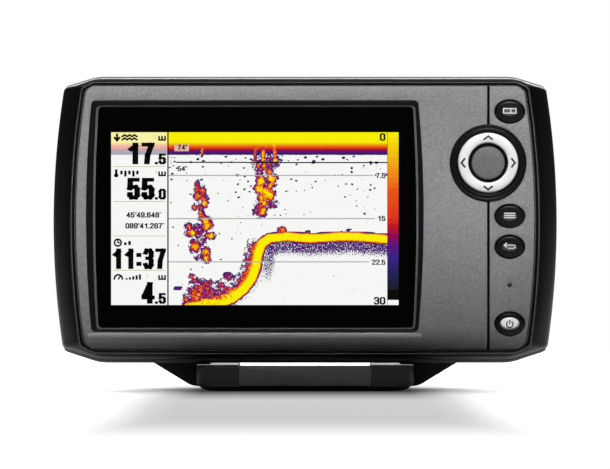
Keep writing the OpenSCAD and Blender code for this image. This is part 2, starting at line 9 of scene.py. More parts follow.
import bmesh
import bpy
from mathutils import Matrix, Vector


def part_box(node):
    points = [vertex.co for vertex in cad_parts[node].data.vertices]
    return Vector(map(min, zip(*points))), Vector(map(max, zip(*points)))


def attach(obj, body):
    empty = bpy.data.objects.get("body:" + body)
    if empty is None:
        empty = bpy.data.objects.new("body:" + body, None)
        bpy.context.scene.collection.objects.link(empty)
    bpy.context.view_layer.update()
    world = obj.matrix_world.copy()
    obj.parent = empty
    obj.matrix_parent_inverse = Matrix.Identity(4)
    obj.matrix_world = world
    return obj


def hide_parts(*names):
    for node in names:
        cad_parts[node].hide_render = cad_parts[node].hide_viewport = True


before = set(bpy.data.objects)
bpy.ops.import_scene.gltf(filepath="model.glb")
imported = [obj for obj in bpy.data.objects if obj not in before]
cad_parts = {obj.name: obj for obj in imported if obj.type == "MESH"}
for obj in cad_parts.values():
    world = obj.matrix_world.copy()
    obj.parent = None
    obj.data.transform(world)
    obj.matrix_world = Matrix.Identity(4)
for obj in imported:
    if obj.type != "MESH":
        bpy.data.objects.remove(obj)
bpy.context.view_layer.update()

MM = 0.001
FRONT_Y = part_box("cursor_ring")[0].y / MM


def box_mm(node):
    """Lowest and highest corner of a CAD node as (x, depth, z), in millimetres."""
    low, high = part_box(node)
    return (
        Vector((low.x / MM, low.y / MM - FRONT_Y, low.z / MM)),
        Vector((high.x / MM, high.y / MM - FRONT_Y, high.z / MM)),
    )


def middle(node, axis):
    """Middle of a CAD node across (0), in depth (1) or up (2), in millimetres."""
    low, high = box_mm(node)
    return (low[axis] + high[axis]) / 2


# ---- driving sizes, in millimetres

HEAD_HALF = box_mm("rear_housing")[1].x + 0.45
HEAD_LOW = box_mm("rear_housing")[0].z - 0.45
HEAD_HIGH = box_mm("rear_housing")[1].z + 0.25
BOX_BACK = box_mm("rear_housing")[1].y
SEAM_D = box_mm("front_housing")[1].y
FLANGE_BACK = SEAM_D + 2.5
BOX_HALF, BOX_LOW, BOX_HIGH = 61, 27, 108
BOX_TAPER, BOX_EDGE = 4, 3
FRAME_REACH = 8.75
SIDE_RADIUS = 320
SIDE_Z = 63.5
RIM_INSET = 0.9
FACE_D = box_mm("faceplate")[0].y
FACE_T = 2
FACE_HALF = 86
FACE_LOW = box_mm("faceplate")[0].z
FACE_HIGH = box_mm("faceplate")[1].z
ROLL_Z = 24.5
ROLL_R = 10
SEAM_X = 68.7
SEAM_W = 0.9
GLASS_LOW, GLASS_HIGH = box_mm("display_glass")
TRIM_LOW, TRIM_HIGH = box_mm("glass_trim")
TRIM_BOW, GLASS_BOW = 460, 690
SCREEN_X, SCREEN_Z = -18.85, 65
SCREEN_W, SCREEN_H = 107.8, 64.8
RING_X = middle("cursor_ring", 0)
RING_Z = middle("cursor_surround", 2)
RING_R, RING_BORE = 11.3, 7.4
SEAT_R = 13.2
KEY_X = middle("view_button", 0)
KEY_A, KEY_B = 5.8, 4.57
KEY_GAP = 0.35
LENS_A, LENS_B = 3.67, 2.36
KEYS = {name: middle(name, 2) for name in ("view_button", "menu_button", "exit_button", "power_button")}
PIVOT_D, PIVOT_Z = 33.5, 64
SOCKET_X, SOCKET_Z = 20, 46
EYE_Z = 40


def place(x, depth, z):
    return (x * MM, (FRONT_Y + depth) * MM, z * MM)


# ---- outlines


def rounded(points, radii, steps=6, closed=True):
    """The path through points with its corners rounded, always with the same number of points."""
    out = []
    count = len(points)
    for i, (p, r) in enumerate(zip(points, radii)):
        if r == 0 or (not closed and i in (0, count - 1)):
            out.append(tuple(p))
            continue
        here = Vector(p)
        before = Vector(points[i - 1]) - here
        after = Vector(points[(i + 1) % count]) - here
        a, b = before.normalized(), after.normalized()
        half = a.angle(b) / 2
        reach = min(r / tan(half), 0.49 * before.length, 0.49 * after.length)
        radius = reach * tan(half)
        centre = here + (a + b).normalized() * radius / sin(half)
        start, end = here + a * reach - centre, here + b * reach - centre
        turn = atan2(start.x * end.y - start.y * end.x, start.dot(end))
        for k in range(steps + 1):
            t = turn * k / steps
            x = start.x * cos(t) - start.y * sin(t)
            y = start.x * sin(t) + start.y * cos(t)
            out.append((centre.x + x, centre.y + y))
    return out


def oblong(x0, x1, z0, z1, radius=0, steps=6):
    """Upright rectangle, with round corners if it has a radius."""
    corners = [(x0, z0), (x1, z0), (x1, z1), (x0, z1)]
    return rounded(corners, [radius] * 4, steps)


def ellipse(x, z, a, b, count=64):
    turns = (2 * pi * i / count for i in range(count))
    return [(x + a * cos(t), z + b * sin(t)) for t in turns]


def arc(x, z, radius, turns):
    """Points round a centre, at turns in degrees, clockwise from the top."""
    return [(x + radius * sin(radians(a)), z + radius * cos(radians(a))) for a in turns]


def bow(half, z):
    """Half width at height z of the head's bowed side, which is half wide at mid height."""
    return half - SIDE_RADIUS + sqrt(SIDE_RADIUS**2 - (z - SIDE_Z) ** 2)


def head_outline(half, low, high, share):
    """Closed outline between the grey face's edge (share 0) and the head's silhouette (share 1)."""

    def between(a, b):
        return a + (b - a) * share

    low_z = low + between(2.5, 4.4)
    high_z = high - between(1.9, 3.7)
    low_x = between(80, 77.3)
    high_x = between(80, 78.4)
    sides = 26
    right = [(0, low), (40, low), (low_x, low)]
    radii = [0, 0, between(3, 20)]
    for i in range(sides + 1):
        z = low_z + (high_z - low_z) * i / sides
        right.append((bow(half, z), z))
        radii.append(between(2.5, 2.2) if i in (0, sides) else 0)
    right += [(high_x, high), (40, high), (0, high)]
    radii += [between(3, 20), 0, 0]
    path = rounded(right, radii, closed=False)
    return path + [(-x, z) for x, z in reversed(path[1:-1])]


def window(x, z, w, h, bow_r, corner, sides=12):
    """Rectangle with round corners whose left and right edges bow outwards."""
    right, radii = [], []
    for i in range(sides + 1):
        t = h * (i / sides - 0.5)
        right.append((x + w / 2 - bow_r + sqrt(bow_r**2 - t**2), z + t))
        radii.append(corner if i in (0, sides) else 0)
    left = [(2 * x - px, pz) for px, pz in reversed(right)]
    return rounded(right + left, radii + radii[::-1])


# ---- meshes

SHARP_ANGLE = radians(35)


def add_object(name, data):
    obj = bpy.data.objects.new(name, data)
    bpy.context.scene.collection.objects.link(obj)
    return obj


def add_piece(mesh, body, material, nodes=()):
    """Puts a mesh in the scene on a body and in place of CAD nodes."""
    mesh.materials.append(material)
    obj = add_object(mesh.name, mesh)
    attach(obj, body)
    if nodes:
        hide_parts(*nodes)


def piece(name, parts, body, material, slot, *nodes):
    """A piece made of parts, each a list of points in metres and a list of faces."""
    points, faces = [], []
    for part_points, part_faces in parts:
        faces += [[i + len(points) for i in face] for face in part_faces]
        points += part_points
    mesh = bpy.data.meshes.new(name)
    mesh.from_pydata(points, [], faces)
    mesh.validate()
    bm = bmesh.new()
    bm.from_mesh(mesh)
    bmesh.ops.remove_doubles(bm, verts=bm.verts, dist=1e-7)
    bmesh.ops.dissolve_degenerate(bm, dist=1e-8, edges=bm.edges)
    bmesh.ops.recalc_face_normals(bm, faces=bm.faces)
    bm.to_mesh(mesh)
    bm.free()
    mesh.shade_smooth()
    mesh.set_sharp_from_angle(angle=SHARP_ANGLE)
    add_piece(mesh, body, material, nodes)


def loft(rings, caps=True, loop=False):
    """Skin over closed rings of points that all have the same count; a loop joins its last to its first."""
    count = len(rings[0])
    points = [p for ring in rings for p in ring]
    faces = []
    pairs = len(rings) if loop else len(rings) - 1
    for k in range(pairs):
        a, b = k * count, ((k + 1) % len(rings)) * count
        for i in range(count):
            j = (i + 1) % count
            faces.append([a + i, a + j, b + j, b + i])
    if caps and not loop:
        faces.append(list(range(count))[::-1])
        faces.append([pairs * count + i for i in range(count)])
    return points, faces


def flat_ring(outline, depth):
    return [place(x, depth, z) for x, z in outline]


def turned(x, z, profile, count=96, loop=False):
    """Turned part whose axis runs in depth; the profile is a list of (radius, depth)."""
    rings = [flat_ring(ellipse(x, z, max(r, 1e-4), max(r, 1e-4), count), d) for r, d in profile]
    return loft(rings, loop=loop)


def plate_part(loops, thickness, edge, turn, cuts=()):
    """Plate cut to the loops, the first outside and the rest holes, with its edges rounded.

    turn(u, v, w) gives the point in metres for a point of the plate, w counting from its front.
    cuts are heights at which it gets a row of edges.
    """
    curve = bpy.data.curves.new("plate", "CURVE")
    curve.dimensions = "2D"
    curve.fill_mode = "BOTH"
    curve.extrude = thickness / 2 - edge
    curve.bevel_depth = edge
    curve.bevel_resolution = 2 if edge else 0
    curve.offset = -edge
    for loop in loops:
        spline = curve.splines.new("POLY")
        spline.points.add(len(loop) - 1)
        for point, (u, v) in zip(spline.points, loop):
            point.co = (u, v, 0, 1)
        spline.use_cyclic_u = True
    holder = add_object("plate", curve)
    bpy.context.view_layer.update()
    mesh = bpy.data.meshes.new_from_object(holder.evaluated_get(bpy.context.evaluated_depsgraph_get()))
    bpy.data.objects.remove(holder)
    bpy.data.curves.remove(curve)
    bm = bmesh.new()
    bm.from_mesh(mesh)
    bpy.data.meshes.remove(mesh)
    bmesh.ops.remove_doubles(bm, verts=bm.verts, dist=1e-4)
    for v in cuts:
        geometry = bm.verts[:] + bm.edges[:] + bm.faces[:]
        bmesh.ops.bisect_plane(bm, geom=geometry, plane_co=(0, v, 0), plane_no=(0, 1, 0), dist=1e-4)
    bm.verts.index_update()
    points = [turn(v.co.x, v.co.y, thickness / 2 - v.co.z) for v in bm.verts]
    faces = [[v.index for v in f.verts] for f in bm.faces]
    bm.free()
    return points, faces


def front_plate(loops, depth, thickness, edge):
    """Flat plate facing the viewer, its front at a depth."""
    return plate_part(loops, thickness, edge, lambda u, v, w: place(u, depth + w, v))


def stroke(points, width, closed=False):
    """Outline loops of a line of even width through a few points, one loop for each stretch."""
    loops = []
    ends = points[1:] + points[:1] if closed else points[1:]
    for a, b in zip(points, ends):
        a, b = Vector(a), Vector(b)
        along = (b - a).normalized() * width / 2
        side = Vector((-along.y, along.x))
        corners = (a - along - side, b + along - side, b + along + side, a - along + side)
        loops.append([tuple(p) for p in corners])
    return loops


def patch(loop, depth):
    """Thin face over a loop; its depth is a number, or depth(x, z) gives it."""
    points = [place(x, depth(x, z) if callable(depth) else depth, z) for x, z in loop]
    return points, [list(range(len(points)))]


# ---- materials


def linear(value):
    """Linear light of an sRGB value from 0 to 1."""
    return value / 12.92 if value <= 0.04045 else ((value + 0.055) / 1.055) ** 2.4


def colour(red, green, blue):
    """Linear colour from sRGB values from 0 to 255."""
    return tuple(linear(c / 255) for c in (red, green, blue)) + (1,)


def tinted(tone, share):
    """Colour from linear red, green and blue, made darker or lighter."""
    return tuple(c * share for c in tone[:3]) + (1,)


def grey(level):
    return (level, level, level, 1)


def feed(tree, value, socket):
    """Sets a socket to a number or colour, or links it to a field or to another socket."""
    if isinstance(value, (tuple, list, float, int)):
        socket.default_value = value
    else:
        tree.links.new(getattr(value, "socket", value), socket)


class Field:
    """A number or colour that varies over a surface, worked out by nodes."""

    def __init__(self, tree, socket):
        self.tree, self.socket = tree, socket

    def math(self, operation, *others, clamp=False):
        node = self.tree.nodes.new("ShaderNodeMath")
        node.operation = operation
        node.use_clamp = clamp
        for value, socket in zip((self, *others), node.inputs):
            feed(self.tree, value, socket)
        return Field(self.tree, node.outputs[0])

    def __add__(self, other):
        return self.math("ADD", other)

    def __sub__(self, other):
        return self.math("SUBTRACT", other)

    def __mul__(self, other):
        return self.math("MULTIPLY", other)

    def clamped(self, low=0, high=1):
        """0 at low, 1 at high, and held there beyond."""
        return self.math("SUBTRACT", low).math("DIVIDE", high - low, clamp=True)


class Shade:
    """A Principled material whose colour, roughness and bump come from nodes."""

    def __init__(self, name, roughness=0.5, specular=0.5, metallic=0):
        self.material = bpy.data.materials.new(name)
        self.material.use_nodes = True
        self.tree = self.material.node_tree
        self.surface = self.tree.nodes["Principled BSDF"]
        self.link(roughness, "Roughness")
        self.link(specular, "Specular IOR Level")
        self.link(metallic, "Metallic")
        self.coordinates = self.tree.nodes.new("ShaderNodeTexCoord")

    def link(self, source, target):
        """Sets or links one of the surface's sockets."""
        feed(self.tree, source, self.surface.inputs[target])

    def node(self, kind, *first, **named):
        """New node with its inputs set or linked, the first ones in order and others by name."""
        node = self.tree.nodes.new("ShaderNode" + kind)
        for value, socket in zip(first, node.inputs):
            feed(self.tree, value, socket)
        for name, value in named.items():
            feed(self.tree, value, node.inputs[name.replace("_", " ")])
        return node

    def field(self, node, output=0):
        return Field(self.tree, node.outputs[output])

    def vector(self, stretch=(1, 1, 1)):
        """Object coordinates in millimetres, stretched."""
        scale = [s / MM for s in stretch]
        return self.node("Mapping", self.coordinates.outputs["Object"], Scale=scale).outputs[0]

    def axis(self, index):
        """Object coordinate along X, Y or Z, in millimetres."""
        return self.field(self.node("SeparateXYZ", self.vector()), index)

    def reach(self, x, z, a=1, b=1):
        """Distance from a point, which is 1 on the oval round it with the half axes a and b."""
        across = (self.axis(0) - x) * (1 / a)
        up = (self.axis(2) - z) * (1 / b)
        return (across * across + up * up).math("SQRT")

    def noise(self, size, detail=2, roughness=0.5, stretch=(1, 1, 1)):
        """Noise from 0 to 1 whose features are about size millimetres wide."""
        at = self.vector(stretch)
        node = self.node("TexNoise", at, Scale=1 / size, Detail=detail, Roughness=roughness)
        return self.field(node, "Fac")

    def cells(self, size, output="Distance", randomness=1, stretch=(1, 1, 1)):
        node = self.node("TexVoronoi", self.vector(stretch), Scale=1 / size, Randomness=randomness)
        return self.field(node, output)

    def attribute(self, name):
        node = self.node("Attribute")
        node.attribute_name = name
        return self.field(node, "Fac")

    def ramp(self, value, stops):
        """Colour by a number; stops are a position and red, green and blue, or one linear grey."""
        node = self.node("ValToRGB", value)
        elements = node.color_ramp.elements
        while len(elements) < len(stops):
            elements.new(0.5)
        for element, (position, *tone) in zip(elements, stops):
            element.position = position
            element.color = colour(*tone) if len(tone) == 3 else grey(*tone)
        return self.field(node, "Color")

    def mix(self, share, first, second):
        node = self.node("Mix", share)
        node.data_type = "RGBA"
        feed(self.tree, first, node.inputs[6])
        feed(self.tree, second, node.inputs[7])
        return self.field(node, 2)

    def painted(self, tone, gloss=(), bump=()):
        """The material with a colour, a roughness and a bump.

        gloss is a field and the roughness at its 0 and 1. bump is a field, the millimetres
        that its 1 stands for, and perhaps a strength.
        """
        self.link(tone, "Base Color")
        if gloss:
            field, low, high = gloss
            self.link(self.field(self.node("MapRange", field, To_Min=low, To_Max=high)), "Roughness")
        if bump:
            height, depth, *strength = bump
            node = self.node("Bump", *strength, Distance=depth * MM, Height=height)
            self.link(self.field(node), "Normal")
        return self.material


def moulded(name, rgb, roughness=0.45, specular=0.3, grain=0.35, depth=0.02, vary=0.25):
    """Moulded plastic or rubber: a fine spark-eroded grain, and broad changes of tone and gloss."""
    tone = colour(*rgb)
    shade = Shade(name, roughness, specular)
    fine = shade.noise(grain, 3, 0.6)
    broad = shade.noise(18, 2)
    mottle = fine * 0.5 + broad * 0.5
    blend = shade.mix(mottle, tinted(tone, 1 - vary), tinted(tone, 1 + vary))
    return shade.painted(blend, (broad, roughness - 0.06, roughness + 0.08), (fine, depth, 1))


def metal(name, tone, roughness=0.3, brush=(1, 1, 1), size=0.4):
    """Plated or machined metal with fine tool marks; its tone is linear."""
    shade = Shade(name, roughness, 0.5, 1)
    marks = shade.noise(size, 3, 0.6, brush)
    broad = shade.noise(6)
    blend = shade.mix(marks * 0.5 + broad * 0.5, tinted(tone, 0.8), tinted(tone, 1))
    return shade.painted(blend, (marks, roughness - 0.08, roughness + 0.12), (marks, 0.01, 0.6))


def face_paint(name, tone):
    """Grey metallic paint with a fine sparkle, on the faceplate and the hub."""
    shade = Shade(name, 0.5, 0.35)
    sparkle = shade.noise(0.8, 4, 0.8)
    broad = shade.noise(9, 3)
    mottle = sparkle.clamped(0.32, 0.68) * 0.75 + broad * 0.25
    blend = shade.mix(mottle, tinted(tone, 0.6), tinted(tone, 1.4))
    return shade.painted(blend, (sparkle, 0.42, 0.6), (sparkle, 0.03, 0.5))


def button_black(name, centre_x, centre_z):
    """Glossy black button with a soft grey painted highlight at its middle, round its legend."""
    shade = Shade(name, 0.34, 0.12)
    # Painted highlight: grey in the middle of the button, fading to black towards its edge.
    painted_highlight = shade.ramp(shade.reach(centre_x, centre_z, 3.3, 1.7), [(0, 1), (0.5, 0.6), (1, 0)])
    fine = shade.noise(0.5)
    black = shade.mix(fine, colour(10, 10, 11), colour(20, 20, 21))
    return shade.painted(shade.mix(painted_highlight, black, colour(112, 113, 115)), (fine, 0.3, 0.4))


def satin_silver(name):
    """Silver-white paint of the four-way ring, with painted shade: a little darker towards its rims."""
    shade = Shade(name, 0.38, 0.45)
    fine = shade.noise(0.25, 2)
    # Painted shade: darker at the bore and darker still at the outer edge.
    rim = shade.ramp(shade.reach(RING_X, RING_Z).clamped(RING_BORE, RING_R), [
        (0, 226, 228, 229), (0.12, 244, 245, 246), (0.8, 242, 243, 244), (1, 214, 216, 218)])
    silver = shade.mix(fine * 0.08, rim, colour(176, 178, 180))
    return shade.painted(silver, (fine, 0.32, 0.44), (fine, 0.004, 0.5))


def lens_painted_light(name, centre_x, centre_z):
    """Silvery window of the power button with painted light: light in the middle and a little above it, grey
    at its rim, and a faint light of its own though it is no lamp.
    """
    shade = Shade(name, 0.25, 0.5)
    # Painted highlight and shade: the light middle sits a little high, so the lower part is darker.
    up = (shade.axis(2) - centre_z) * (1 / LENS_B)
    reach = shade.reach(centre_x, centre_z, LENS_A, LENS_B) - up * 0.25
    fine = shade.noise(0.3)
    tone = shade.ramp(reach, [
        (0, 244, 246, 248), (0.7, 236, 238, 240), (0.92, 150, 152, 155), (1, 70, 72, 74)])
    silver = shade.mix(fine * 0.1, tone, colour(150, 152, 155))
    # Painted light: the lens sends out a faint light of its own.
    shade.link(silver, "Emission Color")
    shade.link(0.4, "Emission Strength")
    return shade.painted(silver)


def cover_glass(name):
    """Black-printed cover glass with faint cloudiness in its gloss."""
    shade = Shade(name, 0.05, 0.25)
    cloud = shade.noise(14, 3)
    return shade.painted(shade.mix(cloud, colour(0, 0, 0), colour(3, 3, 3)), (cloud, 0.01, 0.025))


def printed(name, rgb, lit=False):
    """Ink or lit marks, with the slight unevenness of print."""
    shade = Shade(name, 0.5, 0.03 if lit else 0.2)
    tone = colour(*rgb)
    tint = shade.mix(shade.noise(0.3), tinted(tone, 0.85), tone)
    return lit_picture(shade, tint) if lit else shade.painted(tint)


def circuit_board(name):
    """Green solder mask with a pattern of copper tracks and pads."""
    shade = Shade(name, 0.35, 0.5)
    lines = shade.cells(2.4, "Distance", 0.35, (1, 0.2, 1)).clamped(0.44, 0.5)
    pads = shade.noise(1.1, 1).clamped(0.62, 0.66)
    mask = shade.mix(lines, colour(14, 62, 34), colour(34, 98, 52))
    return shade.painted(shade.mix(pads, mask, colour(186, 176, 120)), (), (lines, 0.04, 1))


# Colours of an echo from none, through weak, to strong, and those of the screen's colour bar
PAPER = (246, 246, 244)
ECHO_STOPS = [
    (0, *PAPER), (0.055, *PAPER), (0.07, 30, 24, 44), (0.16, 56, 26, 120), (0.28, 88, 18, 122),
    (0.38, 122, 14, 84), (0.46, 168, 10, 40), (0.52, 222, 52, 28), (0.64, 228, 84, 24),
    (0.72, 236, 130, 18), (0.86, 244, 190, 12), (0.95, 247, 234, 4), (1, 248, 238, 4),
]
SCALE_STOPS = [
    (0, *PAPER), (0.029, *PAPER), (0.031, 2, 2, 2), (0.08, 8, 8, 10), (0.10, 28, 28, 38),
    (0.2, 38, 34, 92), (0.28, 58, 34, 134), (0.34, 88, 20, 128), (0.40, 140, 8, 80), (0.45, 184, 20, 34),
    (0.51, 222, 52, 28), (0.66, 230, 84, 24), (0.78, 238, 146, 18), (0.9, 243, 200, 10), (1, 248, 238, 4),
]


def lit_picture(shade, picture):
    """Sends a picture out of the surface as light, under a smooth glassy front."""
    shade.link(1, "Emission Strength")
    shade.link(picture, "Emission Color")
    return shade.painted(grey(0))


def sonar_picture(name):
    """Echoes on white: a smooth strength painted on the mesh, broken up by noise, and loose specks."""
    shade = Shade(name, 0.08, 0.3)
    strength = shade.attribute("strength")
    ragged = shade.attribute("ragged")
    crumbs = shade.noise(1.1, 3, 0.65).clamped(0.3, 0.7) - 0.5
    grains = shade.noise(0.45, 2, 0.6).clamped(0.3, 0.7) - 0.5
    echo = strength + ragged * (crumbs + grains * 0.5)
    spot = shade.cells(1.8, "Distance", 1, (0.8, 1, 1.15))
    pick = shade.cells(1.8, "Color", 1, (0.8, 1, 1.15))
    size = (pick + shade.attribute("busy") - 1).clamped(0, 0.3) * 0.3
    speck = (size - spot + crumbs * 0.3).clamped(0, 0.05) * 0.2
    below = shade.attribute("dust")
    dust = (below + grains * 1.3 + crumbs * 0.3 - 0.5).clamped(0, 0.8) * 0.34 * below.clamped(0.02, 0.15)
    total = echo.math("MAXIMUM", speck).math("MAXIMUM", dust)
    return lit_picture(shade, shade.ramp(total.math("MAXIMUM", 0), ECHO_STOPS))


def readout_picture(name, blend_low, blend_high):
    """White readout column, with the surface echo showing palely through its top box."""
    shade = Shade(name, 0.08, 0.3)
    height = shade.axis(2)
    echo = height.clamped(blend_low, blend_high)
    specks = shade.cells(2.6)
    pick = shade.cells(2.6, "Color")
    mark = ((pick - 0.72) * 0.6 - specks).clamped(0, 0.06) * height.clamped(62, 84)
    white = shade.mix(mark * 0.55, colour(*PAPER), colour(110, 60, 130))
    return lit_picture(shade, shade.mix(echo.clamped(0.03, 0.08) * 0.58, white, shade.ramp(echo, ECHO_STOPS)))


def colour_scale(name, low, high, steps=34):
    """Bar of the echo colours in steps, strongest at the top, over a black step and a white foot."""
    shade = Shade(name, 0.08, 0.3)
    share = shade.axis(2).clamped(low, high)
    stepped = ((share * steps).math("FLOOR") + 0.5) * (1 / steps)
    return lit_picture(shade, shade.ramp(stepped, SCALE_STOPS))


# ---- head shells


def roll_back(z):
    """How far the face has rolled back at a height."""
    drop = min(max(ROLL_Z - z, 0), ROLL_Z - FACE_LOW)
    return ROLL_R - sqrt(ROLL_R**2 - drop**2)


def frame_ring(side, top, bottom, side_d, top_d, rolled):
    """Ring of the front frame: its offsets from the face's edge, its depths, and its share of the roll."""
    low, high = FACE_LOW - bottom, FACE_HIGH + top
    ring = []
    for x, z in head_outline(FACE_HALF + side, low, high, min(max(side / FRAME_REACH, 0), 1)):
        upper = min(max((z - (high - 3)) / 3, 0), 1)
        depth = side_d + (top_d - side_d) * upper + rolled * roll_back(z)
        ring.append(place(x, min(depth, SEAM_D), z))
    return ring


def front_frame():
    """Black frame: an inner bead, a groove, an outer bead, then cheeks that fall away to the seam."""
    reach = FRAME_REACH
    rings = [
        (-0.9, -0.9, -0.9, 4.2, 4.2, 1), (0.06, 0.05, 0.05, 4, 4, 1),
        (0.08, 0.06, 0.06, 1.75, 1.8, 1), (0.2, 0.14, 0.12, 1.35, 1.5, 1),
        (0.45, 0.36, 0.24, 1.35, 1.5, 1), (0.62, 0.5, 0.3, 1.8, 1.9, 1),
        (0.7, 0.56, 0.34, 2.8, 2.8, 1), (1.3, 1, 0.5, 2.8, 2.8, 1),
        (1.4, 1.08, 0.54, 1.9, 2, 1), (1.54, 1.2, 0.66, 1.4, 1.5, 1),
        (1.82, 1.46, 0.9, 1.35, 1.45, 1), (2.02, 1.56, 1.1, 1.75, 1.8, 1),
        (2.3, 1.7, 1.3, 2.6, 2.6, 1), (3.2, 2.2, 1.7, 3.2, 2.9, 0.95),
        (4.6, 2.6, 2.1, 4.6, 3.4, 0.8), (6, 2.85, 2.5, 6.5, 4.4, 0.55),
        (7.4, 3, 2.9, 8.6, 6.4, 0.35), (reach - 0.4, 3.1, 3.2, 10.8, 9, 0.15),
        (reach, 3.15, 3.65, 12.6, 12.4, 0.05), (reach, 3.15, 3.8, SEAM_D - 0.25, SEAM_D - 0.25, 0),
        (reach - 0.2, 3, 3.6, SEAM_D, SEAM_D, 0), (2, 1, 1, SEAM_D, SEAM_D, 0),
    ]
    return loft([frame_ring(*ring) for ring in rings], caps=False)


def frame_bead(inner, outer, depth):
    """Crest of a bead of the frame, between two offsets (side, top, bottom) from the face's edge, as a strip
    that carries a painted highlight.
    """
    rows = [(inner, depth + 0.2), (inner, depth), (outer, depth), (outer, depth + 0.2)]
    return loft([frame_ring(*offsets, d, d + 0.12, 1) for offsets, d in rows], loop=True)


def inner_wall():
    """Wall of the front frame behind the grey face, which holds the glass and the keys."""
    opening = window(-19, SCREEN_Z, 119, 75, 2000, 2)
    outline = head_outline(FACE_HALF - 0.6, FACE_LOW + 6, FACE_HIGH - 0.6, 0)
    return front_plate([outline, opening, oblong(70.3, 83.1, 21.2, 111.8)], FACE_D + FACE_T + 0.25, 1.8, 0.1)


def rear_outline(inset, radius=9):
    """Box of the rear housing at an inset from its widest, in as many points as the head's outline."""
    half, low, high = BOX_HALF - inset, BOX_LOW + inset, BOX_HIGH - inset
    count = len(head_outline(HEAD_HALF, HEAD_LOW, HEAD_HIGH, 1))
    corners = oblong(-half, half, low, high, radius, 12)
    lengths = [0]
    loop = corners + corners[:1]
    for a, b in zip(loop, loop[1:]):
        lengths.append(lengths[-1] + dist(a, b))
    start = next(i for i, (a, b) in enumerate(zip(loop, loop[1:])) if a[0] < 0 <= b[0] and a[1] < 60)
    a, b = loop[start], loop[start + 1]
    offset = lengths[start] + (lengths[start + 1] - lengths[start]) * (-a[0]) / (b[0] - a[0])
    out = []
    for k in range(count):
        t = (offset + lengths[-1] * k / count) % lengths[-1]
        i = max(j for j in range(len(corners)) if lengths[j] <= t)
        share = (t - lengths[i]) / (lengths[i + 1] - lengths[i])
        out.append(tuple(p + (q - p) * share for p, q in zip(loop[i], loop[i + 1])))
    return out


def rear_shell():
    """Rear housing: its bright bevelled edge, the flange, and the drafted box with round corners."""

    def head(inset, depth):
        outline = head_outline(HEAD_HALF - inset * 0.35, HEAD_LOW + inset, HEAD_HIGH - inset, 1)
        return flat_ring(outline, depth)

    def box(inset, depth):
        return flat_ring(rear_outline(inset), depth)

    draft = BOX_TAPER / (BOX_BACK - FLANGE_BACK)
    edge_d = BOX_BACK - BOX_EDGE
    skins = [head(3, SEAM_D + 0.02), head(RIM_INSET, SEAM_D + 0.02), head(0.12, SEAM_D + 0.9),
             head(0, SEAM_D + 1.1), head(0, FLANGE_BACK - 0.4), head(0.12, FLANGE_BACK - 0.12),
             head(0.4, FLANGE_BACK), box(-1.4, FLANGE_BACK), box(-0.5, FLANGE_BACK + 0.3),
             box(0, FLANGE_BACK + 1.2)]
    for depth in (24, 32, 40, edge_d):
        skins.append(box((depth - FLANGE_BACK) * draft, depth))
    for i in range(1, 6):
        a = radians(18 * i)
        inset = (edge_d - FLANGE_BACK) * draft + BOX_EDGE * (1 - cos(a))
        skins.append(box(inset, edge_d + BOX_EDGE * sin(a)))
    return loft(skins)


def side_turned(side, profile, count=72, wave=None):
    """Turned part on the tilt axis; the profile is a list of (radius, distance across)."""
    rings = []
    for r, x in profile:
        ring = []
        for i in range(count):
            t = 2 * pi * i / count
            reach = max(r, 1e-4) * (1 - (wave(t, r) if wave else 0))
            ring.append(place(side * x, PIVOT_D + reach * sin(t), PIVOT_Z + reach * cos(t)))
        rings.append(ring)
    return loft(rings)


def pivot_bosses():
    """Round bosses on the box's flanks that the clamp knobs pull the arms against."""
    profile = [(0, 55), (10.6, 55), (10, 60), (10, 61.9), (9.4, 62.5), (4.7, 62.5), (4.7, 60), (0, 60)]
    return [side_turned(side, profile) for side in (1, -1)]


def rating_panel():
    """Blank raised pad low on the back, where such a housing carries its label."""
    return front_plate([oblong(-27, 27, 66, 84, 2)], BOX_BACK - 0.4, 0.8, 0.25)


def back_ribs():
    """Low upright ribs on the back between the label pad and the corners."""
    parts = []
    for side in (1, -1):
        for i in range(5):
            x = side * (36 + 3.6 * i)
            parts.append(front_plate([oblong(x - 0.7, x + 0.7, 60, 96, 0.6, 3)], BOX_BACK - 0.4, 1, 0.3))
    return parts


def socket_rings():
    """Raised round pads that the two sockets stand in."""
    profile = [(0, 0.2), (9.1, 0.2), (9.2, 0.9), (11.5, 0.9), (12, 0.5), (12.2, -0.5), (0, -0.5)]
    profile = [(r, BOX_BACK + d) for r, d in profile]
    return [turned(x, SOCKET_Z, profile, 72) for x in (-SOCKET_X, SOCKET_X)]


def head_shells():
    black = moulded("housing_black", (9, 10, 10), 0.4, 0.06, 0.3, 0.008)
    piece("front_frame", [front_frame(), inner_wall()], "head", black, "housing_black", "front_housing")
    # The bead crests are grey strips on the black frame: painted highlights along both beads.
    highlight_grey = moulded("bead_painted_highlight", (96, 98, 100), 0.45, 0.3, 0.3, 0.004)
    crests = [frame_bead((0.2, 0.16, 0.12), (0.45, 0.34, 0.26), 1.3),
              frame_bead((1.56, 1.22, 1.3), (1.84, 1.46, 1.55), 1.3)]
    piece("frame_beads", crests, "head", highlight_grey, "housing_black")
    rear = moulded("rear_black", (17, 18, 19), 0.36, 0.4, 0.35, 0.012)
    parts = [rear_shell(), rating_panel()] + pivot_bosses() + back_ribs() + socket_rings()
    piece("rear_case", parts, "head", rear, "housing_black", "rear_housing")


# ---- grey face


def on_face(u, v, w):
    """Place of a point of the face: u across, v up, w behind the front; it follows the roll."""
    if v >= ROLL_Z:
        return place(u, FACE_D + w, v)
    a = asin(min((ROLL_Z - v) / ROLL_R, 1))
    reach = ROLL_R - w
    return place(u, FACE_D + ROLL_R - reach * cos(a), ROLL_Z - reach * sin(a))


